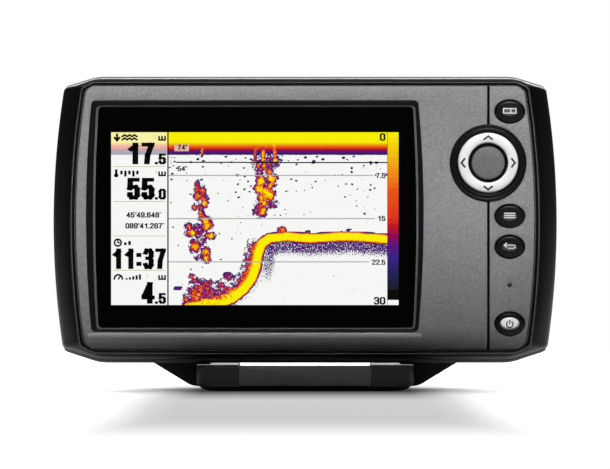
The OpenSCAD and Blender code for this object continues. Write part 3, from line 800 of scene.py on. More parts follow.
def cut_at_seam(outline, x, keep_right):
    """The part of an outline on one side of the seam's edge."""
    out = []
    loop = outline + outline[:1]
    for (ax, az), (bx, bz) in zip(loop, loop[1:]):
        inside_a = ax >= x if keep_right else ax <= x
        inside_b = bx >= x if keep_right else bx <= x
        if inside_a:
            out.append((ax, az))
        if inside_a != inside_b:
            t = (x - ax) / (bx - ax)
            out.append((x, az + (bz - az) * t))
    return out


def bite(outline, x, radius):
    """Cuts the ring's round seat, centred beyond the outline's straight seam edge, out of it."""
    half = sqrt(radius**2 - (x - RING_X) ** 2)
    away = 1 if x > RING_X else -1
    start = atan2(half, x - RING_X)
    sweep = 2 * start if away > 0 else 2 * (start - pi)
    turns = (start - sweep * i / 40 for i in range(41))
    seat = [(RING_X + radius * cos(t), RING_Z + radius * sin(t)) for t in turns]
    loop = outline + outline[:1]
    out = []
    for a, b in zip(loop, loop[1:]):
        out.append(a)
        if abs(a[0] - x) < 1e-6 and abs(b[0] - x) < 1e-6:
            out += seat if a[1] > b[1] else seat[::-1]
    return out


def trim_sill():
    """Low rounded sill of the faceplate along the lower edge of the glass trim; its near-white colour is a
    painted highlight.
    """
    top = TRIM_LOW.z - 0.35
    section = [(0, 0.5), (0, 0.05), (0.12, -0.12), (0.4, -0.25), (0.8, -0.32), (1.3, -0.3), (1.9, -0.16),
               (2.4, 0.04), (2.4, 0.5)]
    left, right = TRIM_LOW.x, TRIM_HIGH.x
    rings = []
    for x, grow in ((left + 0.6, 0.2), (left + 1.6, 1), (right - 1.6, 1), (right - 0.6, 0.2)):
        rings.append([on_face(x, top - v, w * grow if w < 0 else w) for v, w in section])
    return loft(rings)


def grey_face():
    paint = face_paint("face_grey", (0.262, 0.263, 0.266))
    outline = head_outline(FACE_HALF, FACE_LOW, FACE_HIGH, 0)
    left_x, right_x = SEAM_X - SEAM_W / 2, SEAM_X + SEAM_W / 2
    left = bite(cut_at_seam(outline, left_x, False), left_x, SEAT_R)
    right = bite(cut_at_seam(outline, right_x, True), right_x, SEAT_R)
    opening = window(SCREEN_X, middle("glass_trim", 2), TRIM_HIGH.x - TRIM_LOW.x,
                     TRIM_HIGH.z - TRIM_LOW.z, TRIM_BOW, 1.6)
    rows = [FACE_LOW + 0.4 + 0.75 * i for i in range(13)]
    left_part = plate_part([left, opening], FACE_T, 0.3, on_face, rows)
    holes = [ellipse(KEY_X, z, KEY_A, KEY_B) for z in KEYS.values()]
    holes.append(ellipse(KEY_X, EYE_Z, 0.85, 0.85, 24))
    right_part = plate_part([right] + holes, FACE_T, 0.3, on_face, rows)
    piece("grey_faceplate", [left_part], "head", paint, "face_grey", "faceplate")
    # Near-white sill: a painted highlight along the lower edge of the trim.
    highlight_grey = moulded("sill_painted_highlight", (196, 197, 199), 0.5, 0.2, 0.5, 0.002, 0.12)
    piece("faceplate_sill", [trim_sill()], "head", highlight_grey, "face_grey")
    piece("grey_keypad_panel", [right_part], "head", paint, "face_grey", "keypad_panel")


# ---- glass and trim


def glass_and_trim():
    trim_black = moulded("trim_black", (12, 12, 13), 0.42, 0.1, 0.3, 0.006)

    def edge(low, high, grow, up, bow_r, corner, depth):
        """Ring at a depth round a box that grows across and up."""
        x, z = (low.x + high.x) / 2, (low.z + high.z) / 2
        width, height = high.x - low.x + 2 * grow, high.z - low.z + 2 * up
        return flat_ring(window(x, z, width, height, bow_r, corner), depth)

    def outer(inset, depth):
        return edge(TRIM_LOW, TRIM_HIGH, -inset, -inset, TRIM_BOW, 1.6, depth)

    def inner(grow, depth, up=None):
        return edge(GLASS_LOW, GLASS_HIGH, grow, grow if up is None else up, GLASS_BOW, 1.4, depth)

    def pane(inset, depth):
        return edge(GLASS_LOW, GLASS_HIGH, -inset, -inset, GLASS_BOW, 1.3, depth)

    rings = [outer(0.05, 3.7), outer(0.05, 1.75), outer(0.12, 1.6), outer(0.3, 1.52), outer(0.55, 1.56),
             inner(0.92, 1.94, 0.5), inner(0.8, 2.4, 0.4), inner(0.8, 3.7, 0.4)]
    piece("sloped_trim", [loft(rings, loop=True)], "head", trim_black, "trim_black", "glass_trim")
    # Grey lip round the glass on the black trim: a painted highlight along the glass's edge.
    highlight_grey = moulded("lip_painted_highlight", (104, 106, 108), 0.45, 0.3, 0.3, 0.002)
    lip = [inner(0.8, 3.7, 0.4), inner(0.8, 1.94, 0.4), inner(0.7, 1.86, 0.3), inner(0.06, 2.3, 0.03),
           inner(0.02, 2.42), inner(0.02, 3.7)]
    piece("trim_lip", [loft(lip, loop=True)], "head", highlight_grey, "trim_black")

    front = GLASS_LOW.y
    rings = [pane(0.02, front + 1.4), pane(0.02, front + 0.12)]
    rings += [pane(inset, front) for inset in (0.08, 0.34, 0.6, 0.9)]
    piece("cover_glass", [loft(rings)], "head", cover_glass("cover_glass"), "cover_glass", "display_glass")


# ---- lit screen

SCREEN_D = GLASS_LOW.y - 0.03
RULE_D = SCREEN_D - 0.008
MARK_D = GLASS_LOW.y - 0.05
LEFT, RIGHT = SCREEN_X - SCREEN_W / 2, SCREEN_X + SCREEN_W / 2
LOW, HIGH = SCREEN_Z - SCREEN_H / 2, SCREEN_Z + SCREEN_H / 2
COLUMN_RIGHT = LEFT + 21.05
SONAR_LEFT = COLUMN_RIGHT + 0.5
SONAR_RIGHT = RIGHT - 4.25
SURFACE_HIGH, SURFACE_LOW = HIGH - 3.6, HIGH - 8.8
BED_TOP = 75

# Middle line of the echo of the sea bed, from left to right
SEA_BED = [(-46.5, 30.6), (-41.9, 32), (-37.4, 33), (-31.8, 33.4), (-27.3, 35.2), (-22.8, 38.8),
           (-20, 42.7), (-18.4, 47.2), (-17.7, 51.7), (-16.4, 55.6), (-13.4, 57.8), (-7, 58.4), (2, 57.7),
           (13.2, 58.4), (20, 58.3), (31, 57.4)]

# Echoes of weed and shoals as soft ovals: place across and up, half width, half height, strength
SHOALS = [
    (-38.8, 89.8, 0.45, 1.3, 0.8), (-40.6, 76.6, 0.9, 2.2, 0.62), (-40.5, 73.4, 1.1, 1.7, 0.74),
    (-38.3, 75.2, 0.9, 2, 0.66), (-37.7, 71.7, 1.2, 2.2, 0.78), (-41.3, 69.2, 1.1, 1, 0.6),
    (-39.2, 69.6, 1.6, 1.6, 0.34), (-39, 66.6, 1, 2, 0.62), (-37.4, 64.4, 1.7, 1.3, 0.9),
    (-37, 62.3, 2, 1.5, 0.85), (-43.9, 61.9, 1.2, 1.2, 0.56), (-42.5, 59.8, 2, 1.3, 0.85),
    (-39.6, 60.6, 1.7, 2.6, 0.34), (-35.7, 58.5, 1.7, 1.2, 0.84), (-41.2, 54.6, 1.7, 2.3, 0.78),
    (-38.9, 56.6, 1.8, 2, 0.3), (-37.4, 52.5, 1.5, 1.7, 0.76), (-36.9, 50, 1.4, 1.5, 0.76),
    (-39.6, 51, 1.5, 1.4, 0.3),
    (-18.7, 88.6, 0.42, 3, 0.85), (-15.7, 88.6, 0.6, 2.6, 0.95), (-11.4, 89.2, 0.5, 2.8, 0.9),
    (-11.2, 86.9, 0.8, 1, 0.9), (-17.6, 84.7, 0.8, 1, 0.8), (-15.6, 84.4, 0.9, 1.1, 0.86),
    (-14.6, 86, 3.9, 2.2, 0.3), (-13.6, 82.4, 1.1, 1.4, 0.7), (-17, 81.6, 1.6, 2.2, 0.34),
    (-16.6, 78.9, 1.4, 2.3, 0.88), (-12.6, 80, 1.8, 1.5, 0.88), (-17.2, 76.3, 1.6, 1.6, 0.92),
    (-14.5, 74.8, 2.4, 2.2, 1), (-13, 73.6, 1.5, 1.6, 0.9), (-16, 72.6, 1.7, 1.8, 0.86),
    (-15.5, 70.5, 1.2, 1.6, 0.82), (-15.7, 67.7, 1.3, 1.5, 0.76), (-17.6, 68.4, 1.6, 2.4, 0.34),
    (-12.4, 70.4, 1.8, 1.2, 0.3), (-13, 77.6, 1.7, 1.3, 0.66),
    (-44.4, 34, 1.5, 2.6, 0.46), (-41.2, 36.6, 2.6, 3.2, 0.6), (-37.6, 37.4, 2.8, 3.2, 0.56),
    (-34.2, 35.8, 2.6, 2.4, 0.44), (-30, 37.6, 2.4, 2.2, 0.42), (-41.4, 41.4, 1.6, 1.4, 0.42),
    (-37, 41, 3, 1.2, 0.34), (-28.4, 42.6, 2.2, 1, 0.36), (-42.6, 43.4, 1.1, 0.8, 0.55),
    (-29, 44.2, 1.5, 0.6, 0.42), (-47.6, 38.9, 1.5, 0.5, 0.4), (-31.6, 40.4, 1.3, 1.2, 0.34),
    (-8.7, 60.9, 1.3, 1, 0.7), (0.9, 59.8, 0.9, 0.5, 0.6), (16.4, 60.6, 0.9, 0.4, 0.34),
]


def bed_height(x):
    """Height of the sea bed's middle line."""
    for (ax, az), (bx, bz) in zip(SEA_BED, SEA_BED[1:]):
        if ax <= x <= bx:
            return az + (bz - az) * (x - ax) / (bx - ax)
    return SEA_BED[0][1] if x < SEA_BED[0][0] else SEA_BED[-1][1]


def bed_distance(x, z):
    """Distance from the sea bed's middle line."""
    here = Vector((x, z))
    nearest = 1e9
    for a, b in zip(SEA_BED, SEA_BED[1:]):
        a, b = Vector(a), Vector(b)
        t = min(max((here - a).dot(b - a) / (b - a).length_squared, 0), 1)
        nearest = min(nearest, (here - a.lerp(b, t)).length)
    return nearest


def smooth(low, high, value):
    t = min(max((value - low) / (high - low), 0), 1)
    return t * t * (3 - 2 * t)


def bed_echo(x, z):
    """Strength and raggedness of the sea bed's echo, and the dust below it."""
    flat = smooth(-17, -12.5, x)
    away = max(bed_distance(x, z) - 1.15, 0)
    ends = smooth(-46.4, -44.2, x)
    if bed_height(x) < z:
        slope = 1 - 0.34 * smooth(0, 0.7, away) - 0.3 * smooth(0.7, 2, away) - 0.4 * smooth(1.6, 4.8, away)
        level = 1 - smooth(0, 0.75, away)
        ragged = (0.12 + 0.8 * smooth(0.2, 2, away)) * (1 - flat) + 0.16 * flat
        slope *= 1 - smooth(54.5, 57.5, z) * smooth(0.5, 1, away)
        return (slope + (level - slope) * flat) * ends, ragged * ends, 0
    strength = 1 - smooth(0.1, 1.3, away)
    ragged = 0.14 + 0.2 * smooth(0.2, 0.9, away)
    fading = 1 - smooth(1.4 + 1.8 * flat, 3.4 + 4.2 * flat, away)
    dust = (0.48 + 0.47 * flat) * smooth(0.3, 1.2, away) * fading
    return strength * ends, ragged * ends * (strength > 0), dust * ends


def echo_at(x, z):
    """Strength, raggedness, loose specks and dust of the sonar picture at a point."""
    strength = min(max((z - SURFACE_LOW) / (SURFACE_HIGH - SURFACE_LOW), 0), 1)
    ragged, dust = 0.03, 0
    if z < SURFACE_LOW + 0.3:
        strength, ragged = 0, 0
    if z < BED_TOP:
        strength, ragged, dust = bed_echo(x, z)
        if strength <= 0:
            ragged = 0
    for sx, sz, a, b, peak in SHOALS:
        reach = hypot((x - sx) / a, (z - sz) / b)
        if reach < 1.7:
            shoal = peak * (1 - smooth(0.3, 1.6, reach))
            strength = max(strength, shoal)
            rough = 0.8 if b > 0.6 else 0.3
            ragged = max(ragged, rough * (1 - smooth(1.2, 1.7, reach)))
    busy = 0.36 + 0.12 * smooth(60, 90, z) + 0.26 * smooth(SURFACE_LOW - 4.5, SURFACE_LOW - 1, z)
    if z > SURFACE_LOW - 0.1:
        busy = 0
    elif z < bed_height(x) + 6:
        busy = 0.2
    return strength, ragged, busy, dust


def picture_grid(name, x0, x1, z0, z1, step, material, values=None):
    """Flat lit rectangle of the screen; values(x, z) paints its vertices."""
    across = max(round((x1 - x0) / step), 1)
    up = max(round((z1 - z0) / step), 1)
    spots = [(x0 + (x1 - x0) * i / across, z0 + (z1 - z0) * j / up)
             for j in range(up + 1) for i in range(across + 1)]
    row = across + 1
    faces = [[k, k + 1, k + row + 1, k + row] for j in range(up) for k in range(j * row, j * row + across)]
    mesh = bpy.data.meshes.new(name)
    mesh.from_pydata([place(x, SCREEN_D, z) for x, z in spots], [], faces)
    if values:
        painted = zip(*(values(x, z) for x, z in spots))
        for field, numbers in zip(("strength", "ragged", "busy", "dust"), painted):
            mesh.attributes.new(field, "FLOAT", "POINT").data.foreach_set("value", numbers)
    add_piece(mesh, "head", material)


# Middle lines of plain figures in a box one wide and one high
FIGURES = {
    "0": [[(0, 0.14), (0, 0.86), (0.25, 1), (0.75, 1), (1, 0.86), (1, 0.14), (0.75, 0), (0.25, 0),
           (0, 0.14)]],
    "1": [[(0.75, 0), (0.75, 1)], [(0.75, 0.92), (0.15, 0.74)]],
    "2": [[(0, 0.78), (0, 0.88), (0.25, 1), (0.75, 1), (1, 0.88), (1, 0.66), (0.05, 0.1), (0, 0), (1, 0)]],
    "3": [[(0, 0.84), (0.25, 1), (0.75, 1), (1, 0.88), (1, 0.64), (0.8, 0.53), (0.4, 0.53)],
          [(0.8, 0.53), (1, 0.4), (1, 0.12), (0.75, 0), (0.25, 0), (0, 0.16)]],
    "4": [[(0.75, 0), (0.75, 1), (0, 0.32), (0, 0.24), (1.05, 0.24)]],
    "5": [[(0.95, 1), (0.05, 1), (0, 0.52), (0.3, 0.6), (0.75, 0.6), (1, 0.48), (1, 0.12), (0.75, 0),
           (0.25, 0), (0, 0.12), (0, 0.2)]],
    "6": [[(1, 0.8), (1, 0.88), (0.75, 1), (0.25, 1), (0, 0.88), (0, 0.12), (0.25, 0), (0.75, 0), (1, 0.12),
           (1, 0.44), (0.75, 0.56), (0.05, 0.5)]],
    "7": [[(0, 1), (1, 1), (0.45, 0.4), (0.35, 0)]],
    "8": [[(0, 0.14), (0, 0.4), (0.2, 0.53), (0.8, 0.53), (1, 0.4), (1, 0.14), (0.75, 0), (0.25, 0),
           (0, 0.14)],
          [(0.05, 0.66), (0.05, 0.88), (0.25, 1), (0.75, 1), (0.95, 0.88), (0.95, 0.66), (0.8, 0.53)]],
    "9": [[(0, 0.2), (0, 0.12), (0.25, 0), (0.75, 0), (1, 0.12), (1, 0.88), (0.75, 1), (0.25, 1), (0, 0.88),
           (0, 0.56), (0.25, 0.44), (0.95, 0.5)]],
}
NARROW = {".": [0], ":": [0.2, 0.72], "'": [1], "°": []}


def figures(text, right, base, height, wide, pen, heavy=1.4):
    """Marks for a row of figures, one wide and height high; uprights are heavy times the pen's width."""
    parts = []
    edge = right
    thick = pen * heavy
    for letter in reversed(text):
        span = thick if letter in NARROW else wide
        low = edge - span + thick / 2
        foot, tall = base + pen / 2, height - pen
        if letter == "°":
            parts += line_marks(ellipse(low, foot + tall - 0.15, 0.3, 0.34, 10), 0.2, True)
        if letter in NARROW:
            for up in NARROW[letter]:
                top = foot + up * tall
                parts.append(bar(low - thick / 2, low + thick / 2, top - pen * 0.6, top + pen * 0.6))
        else:
            for line in FIGURES[letter]:
                points = [((low + u * (span - thick)) / heavy, foot + v * tall) for u, v in line]
                for loop in stroke(points, pen):
                    parts.append(patch([(x * heavy, z) for x, z in loop], MARK_D))
        edge -= span + 0.07 * height
    return parts


def bar(x0, x1, z0, z1, depth=MARK_D):
    """Flat rectangle on the screen."""
    return patch(oblong(x0, x1, z0, z1), depth)


def line_marks(points, width, closed=False):
    return [patch(loop, MARK_D) for loop in stroke(points, width, closed)]


def readout_marks():
    """Black figures and small generic signs of the readout column."""
    right = COLUMN_RIGHT - 0.5
    parts = []
    for base, whole, part in ((HIGH - 12, "17", ".5"), (HIGH - 25.2, "55", ".0"), (HIGH - 64.3, "4", ".5")):
        parts += figures(part, right, base, 4, 2.75, 0.8)
        parts += figures(whole, right - 4.3, base, 8.1, 4.85, 1.45, 1.5)
    parts += figures("11:37", right, HIGH - 51.3, 7.7, 4.05, 1.3, 1.5)
    parts += figures("45°49.648'", right - 1.9, HIGH - 32, 2, 1.45, 0.36)
    parts += figures("089°41.267'", right - 0.7, HIGH - 36.1, 2, 1.45, 0.36)
    left = LEFT + 1
    # Depth: an arrow down to two waves
    top = HIGH - 0.9
    parts += line_marks([(left + 1.2, top), (left + 1.2, top - 2.1)], 0.8)
    parts += line_marks([(left + 0.3, top - 1.2), (left + 1.2, top - 2.2), (left + 2.1, top - 1.2)], 0.75)
    for drop in (0.4, 1.6):
        wave = [(left + 3.2 + 0.45 * i, top - drop - 0.28 * cos(i * pi / 2)) for i in range(13)]
        parts += line_marks(wave, 0.66)
    # Temperature: a thermometer and its scale
    top = HIGH - 14.4
    parts += line_marks([(left + 0.9, top), (left + 0.9, top - 1.6)], 0.95)
    parts.append(patch(ellipse(left + 0.9, top - 1.8, 0.85, 0.75, 20), MARK_D))
    for i in range(5):
        parts.append(bar(left + 2.4 + 1.5 * i, left + 3.3 + 1.5 * i, top - (2.2 if i % 2 else 1.4), top))
    # Time: a clock face
    top = HIGH - 40.3
    dial = ellipse(left + 1.5, top - 1.1, 1.25, 1.25, 24)
    parts += line_marks(dial, 0.62, True)
    parts += line_marks([(left + 1.5, top - 0.35), (left + 1.5, top - 1.15), (left + 2.1, top - 1.15)], 0.5)
    parts += [bar(left + 3.8 + 1.6 * i, left + 4.8 + 1.6 * i, top - 2, top - 1 + 0.5 * i) for i in range(2)]
    # Speed: a gauge with its needle and rising bars
    top = HIGH - 53.3
    parts += line_marks(arc(left + 1.7, top - 1.7, 1.5, range(90, -91, -15)), 0.66)
    parts += line_marks([(left + 1.7, top - 1.7), (left + 2.5, top - 0.7)], 0.55)
    for i in range(5):
        parts.append(bar(left + 4.4 + 1.25 * i, left + 5.2 + 1.25 * i, top - 2, top - 1.4 + 0.35 * i))
    # Units: a short rule for each box
    for drop in (1.1, 14.4, 53.3):
        parts.append(bar(right - 2.9, right, HIGH - drop - 2.1, HIGH - drop - 1.5))
        parts += [bar(right - 2.9 + 1.12 * i, right - 2.24 + 1.12 * i, HIGH - drop - 1.8, HIGH - drop - 0.3)
                  for i in range(3)]
    return parts


def sonar_marks():
    """Depth scale figures, the cone angles and the line that the boat has run."""
    right = SONAR_RIGHT - 0.7
    parts = figures("0", right, HIGH - 3.2, 2.8, 2.1, 0.5) + figures("30", right, LOW + 0.2, 2.8, 2.1, 0.5)
    for base, text in ((80.2, "7.5"), (64.1, "15"), (47.7, "22.5")):
        parts += figures(text, right, base, 1.95, 1.4, 0.33)
    for drop, text in ((6.6, "74°"), (14.6, "54°")):
        parts += figures(text, SONAR_LEFT + 6.8, HIGH - drop, 1.9, 1.35, 0.32)
    line = HIGH - 11.5
    parts.append(bar(SONAR_LEFT + 2.8, -22, line, line + 0.45))
    parts.append(bar(-22, SONAR_RIGHT, line - 0.1, line + 0.35))
    for i in range(3):
        parts.append(bar(SONAR_LEFT + 0.4, SONAR_LEFT + (1.5 if i % 2 == 0 else 0.9),
                         line + 1.9 - 1 * i, line + 2.1 - 1 * i))
    return parts


def grid_marks():
    """Grey depth lines across the sonar picture."""
    return [bar(SONAR_LEFT, SONAR_RIGHT - gap, z - 0.2, z + 0.2, RULE_D)
            for z, gap in ((81.2, 5.3), (65, 4.6), (48.8, 6.8))]


def tan_rules():
    """Tan rules between the readouts."""
    parts = [bar(LEFT + 0.8, COLUMN_RIGHT - 0.7, HIGH - d, HIGH - d + 0.22, RULE_D)
             for d in (13, 26.1, 39, 51.9)]
    for d, x in ((1, 4.6), (14, 4.3), (53, 7.6)):
        parts.append(bar(COLUMN_RIGHT - x, COLUMN_RIGHT - x + 0.2, HIGH - d - 1.7, HIGH - d, RULE_D))
    return parts


def lit_screen():
    readout = readout_picture("readout_light", SURFACE_LOW, SURFACE_HIGH)
    picture_grid("screen_readouts", LEFT, COLUMN_RIGHT, LOW, HIGH, 4, readout)
    sonar = sonar_picture("sonar_light")
    picture_grid("screen_sonar", SONAR_LEFT, SONAR_RIGHT, LOW, HIGH, 0.6, sonar, echo_at)
    scale = colour_scale("scale_light", LOW, HIGH)
    picture_grid("screen_colour_bar", SONAR_RIGHT + 0.15, RIGHT, LOW, HIGH, 4, scale)
    chip = bar(SONAR_LEFT + 2.2, SONAR_LEFT + 7.6, HIGH - 7.1, HIGH - 4.6, RULE_D)
    for ink, rgb, marks in (
        ("screen_ink", (4, 4, 4), {"readout_figures": readout_marks(), "sonar_figures": sonar_marks()}),
        ("screen_tan", (190, 184, 150), {"readout_rules": tan_rules()}),
        ("screen_grey", (176, 176, 174), {"depth_lines": grid_marks()}),
        ("screen_pink", (232, 190, 176), {"cone_label_patch": [chip]}),
    ):
        material = printed(ink, rgb, True)
        for name, parts in marks.items():
            piece(name, parts, "head", material, "lcd_white")


# ---- buttons

KEY_FRONT = box_mm("view_button")[0].y
CAP_A, CAP_B = KEY_A - KEY_GAP, KEY_B - KEY_GAP


def dome_depth(x, z, centre_z):
    """Depth of a button's gently domed front."""
    reach = min(hypot((x - KEY_X) / CAP_A, (z - centre_z) / CAP_B), 1)
    return KEY_FRONT + 0.35 * reach**2


def key_ring(z, a, b, depth, count=72):
    return flat_ring(ellipse(KEY_X, z, a, b, count), depth)


def button_cap(z, hollow=False):
    """Oval cap with a domed front; the power button's has a seat for its lens."""
    skins = [key_ring(z, CAP_A + 0.9, CAP_B, d) for d in (5.4, 4.7)]
    for grow, depth in ((1, 4.6), (1, 2), (0.992, 1.7), (0.97, 1.48), (0.935, 1.33)):
        skins.append(key_ring(z, CAP_A * grow, CAP_B * grow, depth))
    for share in (0.86, 0.72) if hollow else (0.86, 0.72, 0.55, 0.36, 0.18, 0.02):
        loop = ellipse(KEY_X, z, CAP_A * share, CAP_B * share, 72)
        skins.append([place(x, dome_depth(x, pz, z), pz) for x, pz in loop])
    if hollow:
        seat = ((3.8, 2.5, 0.15), (3.72, 2.41, 0.3), (3.7, 2.4, 0.8))
        skins += [key_ring(z, a, b, KEY_FRONT + d) for a, b, d in seat]
    return [loft(skins), loft([key_ring(z, 2, 2, d, 32) for d in (5.4, 7.3)])]


def draped(loops, depth_at):
    """Marks laid over a curved front: each loop of four corners is cut into short pieces along its length."""
    parts = []
    for loop in loops:
        corner = [Vector(p) for p in loop]
        for i in range(6):
            start, end = i / 6, (i + 1) / 6
            quad = [corner[0].lerp(corner[1], start), corner[0].lerp(corner[1], end),
                    corner[3].lerp(corner[2], end), corner[3].lerp(corner[2], start)]
            parts.append(patch(quad, depth_at))
    return parts


def key_mark(z, loops):
    """Legend draped just over a button's front."""
    return draped(loops, lambda x, pz: dome_depth(x, pz, z) - 0.035)


def split_window(x, z):
    """Sign for changing the view: a frame split in two panes."""
    frame_line = oblong(x - 2.3, x + 2.3, z - 0.85, z + 0.85)
    return stroke(frame_line, 0.42, True) + stroke([(x + 0.4, z - 0.8), (x + 0.4, z + 0.8)], 0.42)


def three_bars(x, z):
    """Sign for the menu: three bars."""
    heights = (z - 0.8, z, z + 0.8)
    return [loop for h in heights for loop in stroke([(x - 1.9, h), (x + 1.9, h)], 0.44)]


def way_back(x, z):
    """Sign for leaving: an arrow that turns back."""
    head = stroke([(x - 1.3, z + 1.05), (x - 2.1, z + 0.35), (x - 1.3, z - 0.35)], 0.44)
    bow_line = arc(x + 1.4, z - 0.25, 0.6, range(30, 181, 30))
    hook = [(x - 1.9, z + 0.35), (x + 1.4, z + 0.35)] + bow_line + [(x - 0.5, z - 0.85)]
    return head + stroke(hook, 0.44)


def power_sign(x, z):
    """Sign for power: a broken ring and a bar."""
    return stroke(arc(x, z, 1.2, range(40, 321, 20)), 0.46) + stroke([(x, z + 0.3), (x, z + 1.5)], 0.46)


def buttons():
    white = printed("legend_white", (238, 238, 238))
    signs = {"view_button": split_window, "menu_button": three_bars, "exit_button": way_back}
    for name, z in KEYS.items():
        body = name.replace("button", "key")
        material = button_black(name + "_black", KEY_X, z - 0.15)
        if name == "power_button":
            material = moulded("power_button_black", (11, 11, 12), 0.36, 0.12, 0.4, 0.004)
        piece(name + "_cap", button_cap(z, name == "power_button"), body, material, "key_black", name)
        if name in signs:
            piece(name + "_sign", key_mark(z, signs[name](KEY_X, z + 0.3)), body, white, "key_black")
    z = KEYS["power_button"]
    front = box_mm("power_lens")[0].y
    skins = [key_ring(z, LENS_A * s, LENS_B * s, front + d)
             for s, d in ((1, 1), (1, 0.3), (0.97, 0.14), (0.9, 0.05), (0.7, 0), (0.4, -0.02), (0.02, -0.03))]
    lens = lens_painted_light("lens_silver", KEY_X, z)
    piece("power_lens_face", [loft(skins)], "power_key", lens, "lens_silver", "power_lens")
    legend = printed("legend_grey", (60, 62, 64))
    sign = [patch(loop, front - 0.05) for loop in power_sign(KEY_X, z - 0.2)]
    piece("power_sign", sign, "power_key", legend, "lens_silver")


# ---- four-way control

RING_PROFILE = [(7.4, 2.6), (7.4, 0.9), (7.46, 0.5), (7.6, 0.28), (7.9, 0.13), (8.5, 0.04), (9.3, 0),
                (10.1, 0.05), (10.6, 0.15), (10.95, 0.33), (11.18, 0.62), (11.3, 1.1), (11.3, 2.6)]


def ring_depth(radius):
    """Depth of the silver ring's front at a distance from its centre."""
    front = RING_PROFILE[1:-1]
    for (ra, da), (rb, db) in zip(front, front[1:]):
        if ra <= radius <= rb:
            return da + (db - da) * (radius - ra) / (rb - ra)
    return 1


def chevrons():
    """Four arrows draped over the ring's front."""
    parts = []
    tip, foot, half = 10, 8.9, 1.45
    for turn in range(4):
        a = turn * pi / 2
        points = []
        for across, out in ((-half, foot), (0, tip), (half, foot)):
            points.append((RING_X + out * sin(a) + across * cos(a),
                           RING_Z + out * cos(a) - across * sin(a)))
        parts += draped(stroke(points, 0.72), lambda x, z: ring_depth(hypot(x - RING_X, z - RING_Z)) - 0.03)
    return parts


def four_way_control():
    silver = satin_silver("ring_silver")
    ring = turned(RING_X, RING_Z, RING_PROFILE, 128, loop=True)
    piece("silver_ring", [ring], "cursor_rocker", silver, "ring_silver", "cursor_ring")
    lugs = []
    for side in (1, -1):
        lugs.append(loft([[place(RING_X + x, d, RING_Z + side * z) for x, z in oblong(-1, 1, 10.5, 11.15)]
                          for d in (2.4, 3.5, 4.6)]))
    piece("ring_lugs", lugs, "cursor_rocker", silver, "ring_silver")
    arrow = printed("arrow_grey", (66, 68, 70))
    piece("ring_arrows", chevrons(), "cursor_rocker", arrow, "ring_silver")

    surround = moulded("surround_black", (10, 10, 11), 0.4, 0.1, 0.4, 0.004)
    profile = [(0, 6.2), (12.6, 6.2), (12.6, 1.75), (13.6, 1.68), (14.3, 1.6), (14.45, 1.45), (14.4, 1.2),
               (14.2, 1.02), (13.9, 0.95), (13.5, 1), (13.25, 1.12), (13, 1), (12.6, 0.82), (12.2, 0.8),
               (11.85, 0.95), (11.68, 1.25), (11.65, 5.4), (0, 5.4)]
    cup = turned(RING_X, RING_Z, profile, 128)
    piece("cursor_cup", [cup], "head", surround, "surround_black", "cursor_surround")

    hub = face_paint("hub_grey", (0.15, 0.151, 0.154))
    profile = [(0, 5.3), (6.12, 5.3), (6.18, 1.3), (6.1, 1), (5.85, 0.8), (5.4, 0.68), (4.2, 0.56),
               (2.4, 0.5), (0, 0.48)]
    piece("hub_cap", [turned(RING_X, RING_Z, profile, 96)], "head", hub, "hub_grey", "cursor_hub")
    collar = moulded("collar_black", (10, 10, 11), 0.42, 0.1, 0.3, 0.004)
    profile = [(6.22, 5.3), (6.22, 1.5), (6.4, 1.22), (6.7, 1.2), (6.95, 1.4), (7, 1.8), (7, 5.3)]
    sleeve = turned(RING_X, RING_Z, profile, 96, loop=True)
    piece("collar_sleeve", [sleeve], "head", collar, "key_black", "hub_collar")

    eye = moulded("sensor_dark", (8, 8, 9), 0.15, 0.5, 0.3, 0.002)
    profile = [(0, 3.5), (0.8, 3.5), (0.8, 2.2), (0.7, 2), (0.4, 1.85), (0, 1.8)]
    piece("sensor_eye", [turned(KEY_X, EYE_Z, profile, 32)], "head", eye, "sensor_black", "sensor_window")


# ---- bracket

BASE_FRONT, BASE_REAR = 10, 74
BLOCK_HALF, BLOCK_INNER = 41, 25
ROOT_TOP = 9.9
PAD_T = box_mm("base_pad")[1].z
ARM_X, ARM_T = 64, 5
EAR_R = 12
NECK_Z = PIVOT_Z - 3
NECK_HALF = 11.6
ARM_FRONT, ARM_REAR = 24, 62
KNOB_X = 69.35
HOLE_PITCH, HOLE_R = 38, 2.3
HOLE_D = 44


def plan(outline, z):
    """Ring at a height from an outline of (x, depth)."""
    return [place(x, d, z) for x, d in outline]


def base_plan(half, front, rear, r=8):
    return oblong(-half, half, front, rear, r, 12)


def tray_floor():
    """Floor of the base with its four countersunk screw holes."""
    loops = [base_plan(26, BASE_FRONT + 3, BASE_REAR - 0.05, 0.6)]
    loops += [ellipse(x, HOLE_D + d, HOLE_R, HOLE_R, 32)
              for x in (-HOLE_PITCH / 2, HOLE_PITCH / 2) for d in (-HOLE_PITCH / 2, HOLE_PITCH / 2)]
    return plate_part(loops, 2.5, 0.3, lambda u, v, w: place(u, v, 4 - w))


def root_block(side):
    """Block at an arm's root, with the round outer corners of the base."""
    def ring(inset, z, tuck=0):
        left, right = BLOCK_INNER + inset, BLOCK_HALF - inset - tuck
        corners = oblong(left, right, BASE_FRONT + inset, BASE_REAR - inset)
        outline = rounded(corners, [0.6, 8, 8, 0.6], 10)
        return plan([(side * x, d) for x, d in outline], z)

    rings = [ring(0.3, PAD_T, 1.4), ring(0, PAD_T + 0.3, 0.9), ring(0, PAD_T + 1.6)]
    rings += [ring(inset, ROOT_TOP - drop) for inset, drop in ((0, 0.7), (0.08, 0.35), (0.3, 0.1), (0.7, 0))]
    return loft(rings)


